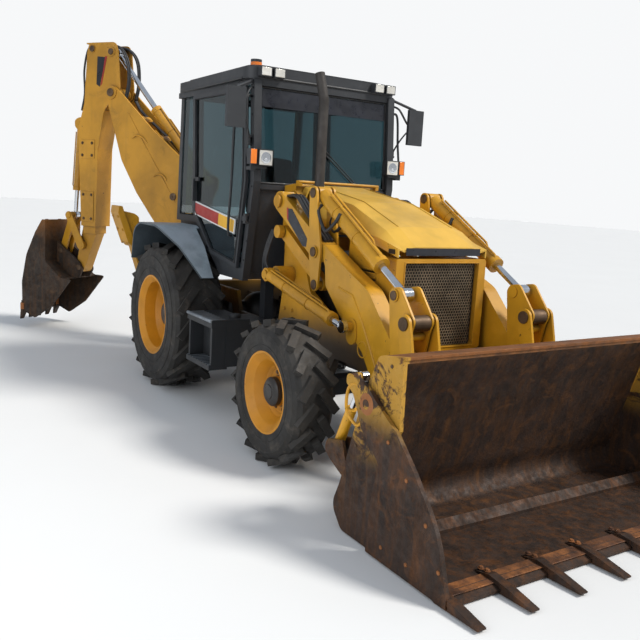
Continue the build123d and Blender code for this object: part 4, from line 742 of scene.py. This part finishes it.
def loader():
    for s, side in NAMED_SIDES:
        y = s * ARM_Y
        tilt_base, tilt_eye = beside(TILT_PIN, y), beside(LINK_PIN, y)
        across_y = Vector((0, 1, 0))
        up = across_y.cross((tilt_eye - tilt_base).normalized())
        up = up if up.z > 0 else -up
        pipes = Shape(f"tilt_pipes_{side}")
        tube_pair(pipes, tilt_base, tilt_eye, across_y, up * 0.066, 8, 120, 830)
        for d in (260, 560):
            c = along(tilt_base, tilt_eye, d)
            pipes.ring(c, tilt_eye - tilt_base, 56, 4)
        pipes.make("tilt_barrels_body", M["arm"])
        lift_base, lift_eye = beside(LIFT_BASE, s * LIFT_Y), beside(LIFT_END, s * LIFT_Y)
        lift_up = across_y.cross((lift_eye - lift_base).normalized())
        lift_up = lift_up if lift_up.z > 0 else -lift_up
        lift = Shape(f"lift_pipes_{side}")
        tube_pair(lift, lift_base, lift_eye, across_y, lift_up * 0.054, 7, 60, 900)
        for d in (300, 640):
            lift.ring(along(lift_base, lift_eye, d), lift_eye - lift_base, 46, 4)
        lift.make("lift_barrels_body", M["yellow"])
        # hoses that hang in a loop below the tilt cylinder, outside its barrel
        loops = Shape(f"tilt_hoses_{side}")
        for k, first, deep in ((-1, 330, 130), (1, 250, 190)):
            out = across_y * (k * 0.072)
            # mm from the barrel's base, share of the way out beside it, and metres above its axis
            points = ((first, 0.6, 0.04), (first + 20, 1, -0.02), (first - 40, 1, -deep / 1000),
                      (first - 130, 1, -deep / 1100), (120, 1, -0.07), (96, 0.6, -0.04))
            loops.hose([along(tilt_base, tilt_eye, mm) + out * share + up * rise
                        for mm, share, rise in points], 12)
        loops.make("tilt_barrels_body", M["hose"])
        feed = Shape(f"arm_hoses_{side}")
        for k in range(3):
            hy = s * (ARM_Y - 30 + k * 28)
            feed.hose([at(x, hy, z) for x, z in ((1430, 1800), (1560, 1800), (1700, 1700), (1860, 1590),
                                                 (2000, 1500))], 13)
        feed.make("arms", M["hose"])
        down = Shape(f"lift_hoses_{side}")
        for k in range(3):
            down.hose([at(1290 - k * 22, s * 560, 1530), at(1262 - k * 24, s * 590, 1400),
                       at(1256 - k * 22, s * 612, 1280), at(1306 - k * 4, s * (600 + k * 26), 1196)], 11)
        down.make("chassis", M["hose"])
        # raised rib and round boss on the knee of the arm
        face = s * ARM_FACE
        knee = Shape(f"knee_rib_{side}")
        knee.tube([at(x, face, z) for x, z in ((2250, 1200), (2420, 1170), (2560, 1000), (2720, 760),
                                               (2830, 560))], 9, 8)
        knee.ring(at(2570, face, 830), (0, 1, 0), 52, 5)
        knee.make("arms", M["arm"])
        decal = Shape(f"arm_blank_decal_{side}")
        decal.plate([(1490, 1706), (1560, 1706), (1800, 1500), (1790, 1440), (1740, 1440), (1500, 1620)],
                    face, face + s * 1.5)
        decal.make("arms", M["decal"])
        corner = Shape(f"arm_decal_corner_{side}")
        corner.plate([(1478, 1712), (1500, 1712), (1512, 1610), (1490, 1630)], face, face + s * 2)
        corner.make("arms", M["red"])
        heads = Shape(f"pin_heads_{side}")
        for pin, r, reach in ((TOWER_PIN, 40, 1), (LEVER_PIN, 34, 32)):
            for plane, f in ((ARM_FACE, 1), (ARM_Y * 2 - ARM_FACE, -1)):
                centre = beside(pin, s * (plane + f * reach))
                heads.turn([(0, r), (9, r), (13, r - 8)], centre, (0, s * f, 0), 28)
        heads.make("arms", M["pin"])
        caps = Shape(f"link_caps_{side}")
        caps.turn([(0, 30), (6, 30), (10, 22)], beside(LINK_PIN, s * 604), (0, s, 0), 28)
        caps.make("tilt_levers_body", M["pin"])
        lever = Shape(f"lever_caps_{side}")
        for pin in (TILT_PIN, LEVER_FOOT):
            for f in (1, -1):
                centre = beside(pin, s * ARM_Y + f * s * 84)
                lever.turn([(0, 36), (4, 36), (7, 28)], centre, (0, s * f, 0), 28)
        lever.make("levelling_levers_body", M["pin"])
    weld = Shape("cross_tube_collars")
    for y in (-448, 448):
        weld.ring(at(2860, y, 700), (0, 1, 0), 76, 7)
    weld.make("arms", M["arm"])


def bucket():
    half = 1168                     # half the length of the top edge, mm
    edge = Shape("bucket_top_edge")
    edge.prism([at(3546, -half, 1042), at(3742, -half, 1074), at(3742, -half, 1056), at(3546, -half, 1024)],
               Vector((0, 2 * half / 1000, 0)))
    edge.make("bucket_body", M["bucket"], 3)
    wear = Shape("side_wear_bolts")
    for s in SIDES:
        for x, z in ((3460, 900), (3430, 700), (3390, 520), (3540, 960), (3650, 1010)):
            wear.bolt(at(x, s * 1167, z), (0, s, 0), 11, False)
    wear.make("bucket_body", M["pin"])
    lower = Shape("clam_wear_bolts")
    for s in SIDES:
        for x, z in ((3700, 640), (3860, 500), (4020, 340), (4130, 160), (3700, 90), (3900, 90)):
            lower.bolt(at(x, s * 1196, z), (0, s, 0), 12)
        lower.turn([(0, 58), (9, 58), (13, 46)], at(3500, s * 1194, 780), (0, s, 0), 32)
    for i in range(8):
        y = -1172 + i * 2344 / 7
        for x in (4040, 4082):
            lower.bolt(at(x, y, 56 if x == 4040 else 62), (0, 0, 1), 12)
    lower.make("clam_body", M["tooth"])
    lip = Shape("cutting_edge")
    lip.block(4066, 4160, -1200, 1200, 40, 47)
    lip.make("clam_body", M["tooth"], 3)
    wire = Shape("bucket_side_loop")
    wire.hose(route(((3470, -1180, 800), (3400, -1196, 860), (3330, -1200, 820), (3320, -1198, 700),
                     (3400, -1190, 640), (3440, -1180, 660))), 9)
    wire.make("clam_body", M["yellow"])


# ---------------------------------------------------------------- frame, steps and stabilisers
def steps():
    tread = Shape("step_treads")
    for s in SIDES:
        for k in range(9):
            x = 730 + k * 52
            tread.block(x, x + 16, s * 900, s * 1026, 800, 805)
            tread.block(x, x + 16, s * 892, s * 1036, 440, 445)
        tread.tube([at(704, s * 1030, 794), at(1186, s * 1030, 794)], 14, 12)
    tread.make("chassis", M["tread"], 1)
    cap = Shape("tank_caps")
    for s in SIDES:
        cap.turn([(0, 48), (22, 48), (30, 40)], at(1080, s * 780, 800), (0, 0, 1), 24)
        for x, z in ((740, 470), (1170, 470), (740, 720), (1170, 720)):
            cap.bolt(at(x, s * 900, z), (0, s, 0), 9)
    cap.make("chassis", M["black"], 2)
    tower = Shape("tower_bolts")
    for s in SIDES:
        for x, z in ((1300, 900), (1300, 1050), (1420, 900), (1480, 760), (1250, 640)):
            tower.bolt(at(x, s * 446, z), (0, s, 0), 14)
        for z in (480, 560, 700):
            tower.bolt(at(2660, s * 380, z), (1, 0, 0), 15)
    tower.make("chassis", M["frame"])


def leg(s, along_leg, off, x):
    """A point on a stowed stabiliser leg, in mm along it and above it."""
    a = math.radians(70)
    y = 625 + along_leg * math.cos(a) - off * math.sin(a)
    return at(x, s * y, 560 + along_leg * math.sin(a) + off * math.cos(a))


def stabilisers():
    for s, side in NAMED_SIDES:
        out = (leg(s, 500, -1, -1036) - leg(s, 500, 0, -1036)).normalized()
        bolts = Shape(f"pad_bolts_{side}")
        for d in (760, 900, 1040):
            for x in (-1120, -960):
                bolts.bolt(leg(s, d, -140, x), out, 12)
        bolts.make(f"stabiliser_{side}_body", M["yellow"])
        hose = Shape(f"stabiliser_hoses_{side}")
        for k in (-1, 1):
            hose.hose(route(((-1036 + k * 22, 330, 880), (-1036 + k * 24, 390, 950),
                             (-1040 + k * 24, 450, 900), (-1036 + k * 20, 440, 860)), s), 9)
        hose.make(f"stabiliser_barrel_{side}_body", M["hose"])


# ---------------------------------------------------------------- digging arm
BOOM_FACE = 163                     # outer face of each boom plate, mm from the arm's middle
STICK_FACE = 130                    # outer face of the stick
# pins, in mm behind the kingpost and above the ground
STICK_BASE = (20, 1890)             # stick cylinder's base on the boom
STICK_END = (1246, 3289)            # and its rod eye on the stick
CURL_BASE = (1772, 2500)            # bucket cylinder's base on the stick
CURL_END = (1850, 1400)             # and its rod eye on the idler


def on_stick(shape, s, thick, outline):
    """A plate on side s of the stick, that many mm thick."""
    shape.plate(outline, s * STICK_FACE, s * (STICK_FACE + thick), hoe)


def digging_arm():
    base = Shape("boom_pipes")
    for y in HOSE_ROWS:
        base.hose([hoe(r, y, z) for r, z in ((110, 1960), (260, 2080), (480, 2270), (740, 2470), (960, 2640),
                                             (1060, 2770))], 12)
    base.make("boom_body", M["hose"])
    clamp = Shape("boom_clamps")
    for r, z in ((300, 2110), (560, 2330), (830, 2540)):
        corners = ((r - 20, -90, z - 10), (r + 20, -90, z + 24), (r + 20, 90, z + 24), (r - 20, 90, z - 10))
        clamp.prism(route(corners, place=hoe), Vector((0, 0, 0.022)))
    clamp.make("boom_body", M["hoe"], 2)
    for k, y in enumerate(HOSE_ROWS):
        hose = Shape(f"stick_head_hose_{k}")
        hose.hose([hoe(r, y, z) for r, z in ((1060, 2770), (1020, 2960), (1040, 3160 + 12 * k), (1130, 3320),
                                             (1260, 3366), (1380, 3325), (1440, 3200))], 13)
        piece = hose.build(M["hose"], sharp=math.pi)
        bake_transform(piece)
    foot = Shape("boom_foot_hoses")
    for y in (-70, -30, 30, 70):
        foot.hose([hoe(40, y, 1890), hoe(-20, y, 1800), hoe(-30, y, 1600), hoe(0, y, 1400), hoe(20, y, 1200),
                   hoe(-20, y * 1.1, 1060)], 13)
    foot.make("boom_body", M["hose"])
    sides = Shape("boom_ribs")
    for s in SIDES:
        y, proud = s * BOOM_FACE, s * (BOOM_FACE + 14)
        sides.tube([hoe(r, y, z) for r, z in ((300, 1640), (520, 1960), (760, 2300), (960, 2600))], 7, 6)
        for loop in (((700, 2280), (760, 2340), (840, 2360), (900, 2330)),
                     ((420, 1880), (470, 1930), (540, 1940), (600, 1910))):
            sides.hose([hoe(r, w, z) for (r, z), w in zip(loop, (y, proud, proud, y))], 9)
    sides.make("boom_body", M["hoe"])
    heads = Shape("boom_pin_heads")
    # place, radius, and distance from the boom's middle; the boom's foot comes first, with a thin bare head
    pins = ((170, 650, 46, BOOM_FACE + 14), (1210, 2832, 44, BOOM_FACE + 16), (*STICK_BASE, 36, BOOM_FACE),
            (330, 1700, 40, BOOM_FACE))
    for s in SIDES:
        for r, z, size, reach in pins:
            side = hoe(0, s, 0) - hoe(0, 0, 0)
            if z < 1000:
                heads.turn([(0, size - 8), (3, size - 8), (5, size - 14)], hoe(r, s * reach, z), side, 28)
                continue
            heads.turn([(0, size), (10, size), (14, size - 9)], hoe(r, s * reach, z), side, 28)
            heads.bolt(hoe(r, s * (reach + 13), z), side, 10)
    heads.make("boom_body", M["pin"])
    stick = Shape("stick_plates")
    for s in SIDES:
        on_stick(stick, s, 8, [(1470, 1340), (1640, 1340), (1660, 1700), (1468, 1700)])
        on_stick(stick, s, 7, [(1466, 2080), (1676, 2080), (1676, 2300), (1462, 2300)])
    stick.make("stick_body", M["hoe"], 3)
    bolts = Shape("stick_bolts")
    for s in SIDES:
        out = hoe(0, s, 0) - hoe(0, 0, 0)
        for r, z in ((1500, 1380), (1610, 1380), (1500, 1660), (1620, 1660), (1500, 2120), (1640, 2120),
                     (1500, 2260), (1640, 2260)):
            bolts.bolt(hoe(r, s * (STICK_FACE + 8), z), out, 12)
        for r, z in (STICK_END, (1513, 3327)):
            bolts.turn([(0, 34), (8, 34), (12, 24)], hoe(r, s * (STICK_FACE + 9), z), out, 24)
    bolts.make("stick_body", M["pin"])
    for s, side in NAMED_SIDES:
        decal = Shape(f"stick_blank_decal_{side}")
        on_stick(decal, s, 2, [(1330, 3230), (1440, 3240), (1450, 2930), (1400, 2900)])
        decal.make("stick_body", M["decal"])
        corner = Shape(f"stick_decal_corner_{side}")
        on_stick(corner, s, 2.5, [(1302, 3240), (1330, 3240), (1390, 2910), (1372, 2930)])
        corner.make("stick_body", M["red"])
    pipe = Shape("stick_cylinder_pipes")
    stick_base, stick_eye = (hoe(r, 0, z) for r, z in (STICK_BASE, STICK_END))
    lateral = (hoe(0, 1, 0) - hoe(0, 0, 0)).normalized()
    up = lateral.cross((stick_eye - stick_base).normalized())
    up = up if up.z > 0 else -up
    tube_pair(pipe, stick_base, stick_eye, lateral, up * 0.068, 8, 140, 980)
    for d in (300, 700):
        pipe.ring(along(stick_base, stick_eye, d), stick_eye - stick_base, 58, 4)
    pipe.make("stick_barrel_body", M["hoe"])
    low = Shape("bucket_cylinder_pipes")
    curl_base, curl_eye = (hoe(r, 0, z) for r, z in (CURL_BASE, CURL_END))
    back = lateral.cross((curl_eye - curl_base).normalized())
    back = back if back.dot(hoe(1, 0, 0) - hoe(0, 0, 0)) > 0 else -back
    tube_pair(low, curl_base, curl_eye, lateral, back * 0.06, 7, 110, 740)
    low.make("bucket_barrel_body", M["hoe"])
    wrap = Shape("stick_back_hoses")
    for y in (-50, 50):
        wrap.hose([hoe(r, y, z) for r, z in ((1560, 3380), (1650, 3325), (1700, 3100), (1690, 2840),
                                             (1730, 2640))], 12)
    wrap.make("stick_body", M["hose"])


def digging_bucket():
    teeth = Shape("digger_teeth")
    out = (hoe(1, 0, 0) - hoe(0, 0, 0)).normalized()
    for i in range(5):
        y = (i - 2) * 140
        corners = ((2376, y - 34, 210), (2376, y + 34, 210), (2376, y + 34, 290), (2376, y - 34, 290))
        teeth.prism(route(corners, place=hoe), out * 0.052)
        teeth.bolt(hoe(2428, y, 250), out, 11)
    teeth.make("hoe_bucket_body", M["tooth"], 4)
    straps = Shape("digger_straps")
    for y in (-215, 0, 215):
        for r0, z0, r1, z1 in ((2098, 1338, 2206, 1184), (2205, 1184, 2346, 902)):
            corners = ((r0, y - 22, z0), (r0, y + 22, z0), (r1, y + 22, z1), (r1, y - 22, z1))
            straps.prism(route(corners, place=hoe), out * 0.01)
    straps.make("hoe_bucket_body", M["digger"], 2)
    heads = Shape("digger_pin_heads")
    for s in SIDES:
        side = hoe(0, s, 0) - hoe(0, 0, 0)
        for r, z in ((1707, 779), (1993, 964)):
            heads.turn([(0, 32), (3, 32), (5, 25)], hoe(r, s * 104, z), side, 28)
    heads.make("hoe_bucket_body", M["pin"])


# ---------------------------------------------------------------- stage
def stage():
    floor = Shape("floor")
    half, deep = 60, 0.02
    corners = [(-half, -half, -deep), (half, -half, -deep), (half, half, -deep), (-half, half, -deep)]
    floor.prism(corners, Vector((0, 0, deep)))
    f = Finish("pale_floor")
    f.set(Base_Color=f.mix(f.noise(0.6, 4), (0.80, 0.80, 0.79), (0.84, 0.84, 0.83)), Roughness=0.9)
    ground = floor.build(f.mat)
    world = bpy.data.worlds.new("studio")
    bpy.context.scene.world = world
    world.use_nodes = True
    tree = world.node_tree
    coord = tree.nodes.new("ShaderNodeTexCoord")
    split = tree.nodes.new("ShaderNodeSeparateXYZ")
    ramp = tree.nodes.new("ShaderNodeValToRGB")
    tree.links.new(coord.outputs["Generated"], split.inputs[0])
    tree.links.new(split.outputs["Z"], ramp.inputs[0])
    stops = ((0.0, (0.86, 0.87, 0.88, 1)), (0.6, (0.72, 0.80, 0.92, 1)))
    for element, (position, colour) in zip(ramp.color_ramp.elements, stops):
        element.position = position
        element.color = colour
    back = tree.nodes["Background"]
    tree.links.new(ramp.outputs[0], back.inputs["Color"])
    back.inputs["Strength"].default_value = 0.55
    pale = tree.nodes.new("ShaderNodeBackground")
    pale.inputs["Color"].default_value = (0.93, 0.94, 0.95, 1)
    seen = tree.nodes.new("ShaderNodeLightPath").outputs["Is Camera Ray"]
    both = tree.nodes.new("ShaderNodeMixShader")
    tree.links.new(seen, both.inputs[0])
    tree.links.new(back.outputs[0], both.inputs[1])
    tree.links.new(pale.outputs[0], both.inputs[2])
    tree.links.new(both.outputs[0], tree.nodes["World Output"].inputs["Surface"])


def light(name, place, target, size, power, colour=(1, 1, 1)):
    data = bpy.data.lights.new(name, "AREA")
    data.shape = "RECTANGLE"
    data.size, data.size_y = size
    data.energy = power
    data.color = colour
    lamp = bpy.data.objects.new(name, data)
    bpy.context.scene.collection.objects.link(lamp)
    lamp.location = place
    lamp.rotation_mode = "QUATERNION"
    lamp.rotation_quaternion = (Vector(target) - Vector(place)).to_track_quat("-Z", "Y")


def sun(place, target, power, spread):
    """An even soft key light over the whole floor."""
    data = bpy.data.lights.new("key", "SUN")
    data.energy = power
    data.angle = math.radians(spread)
    data.color = (1.0, 0.97, 0.92)
    lamp = bpy.data.objects.new("key", data)
    bpy.context.scene.collection.objects.link(lamp)
    lamp.rotation_mode = "QUATERNION"
    lamp.rotation_quaternion = (Vector(target) - Vector(place)).to_track_quat("-Z", "Y")


def camera():
    """Stands ahead and to the right of the machine at a standing person's height."""
    place = at(6502, -3447, 1838)
    yaw, pitch, roll = (math.radians(v) for v in (147.32, -8.28, 3.30))
    look = Vector((math.cos(yaw) * math.cos(pitch), math.sin(yaw) * math.cos(pitch), math.sin(pitch)))
    right = look.cross((0, 0, 1)).normalized()
    up = right.cross(look)
    side = right * math.cos(roll) + up * math.sin(roll)
    top = up * math.cos(roll) - right * math.sin(roll)
    data = bpy.data.cameras.new("camera")
    data.lens = 42.25
    data.sensor_width = 36
    data.shift_y = -0.0277
    data.clip_end = 200
    cam = bpy.data.objects.new("camera", data)
    bpy.context.scene.collection.objects.link(cam)
    cam.matrix_world = Matrix.Translation(place) @ Matrix((side, top, -look)).transposed().to_4x4()
    bpy.context.scene.camera = cam


dress_nodes()
wheels()
door_panes()
cab_trim()
interior()
nose()
loader()
bucket()
steps()
stabilisers()
digging_arm()
digging_bucket()
stage()
sun((4.5, 4.0, 7.5), (0.4, 0, 1.2), 2.8, 16)
light("fill", (3.5, -7.5, 3.6), (0.3, 0, 1.2), (6, 4), 170, (0.93, 0.96, 1.0))
camera()
bpy.context.scene.view_settings.view_transform = "Standard"
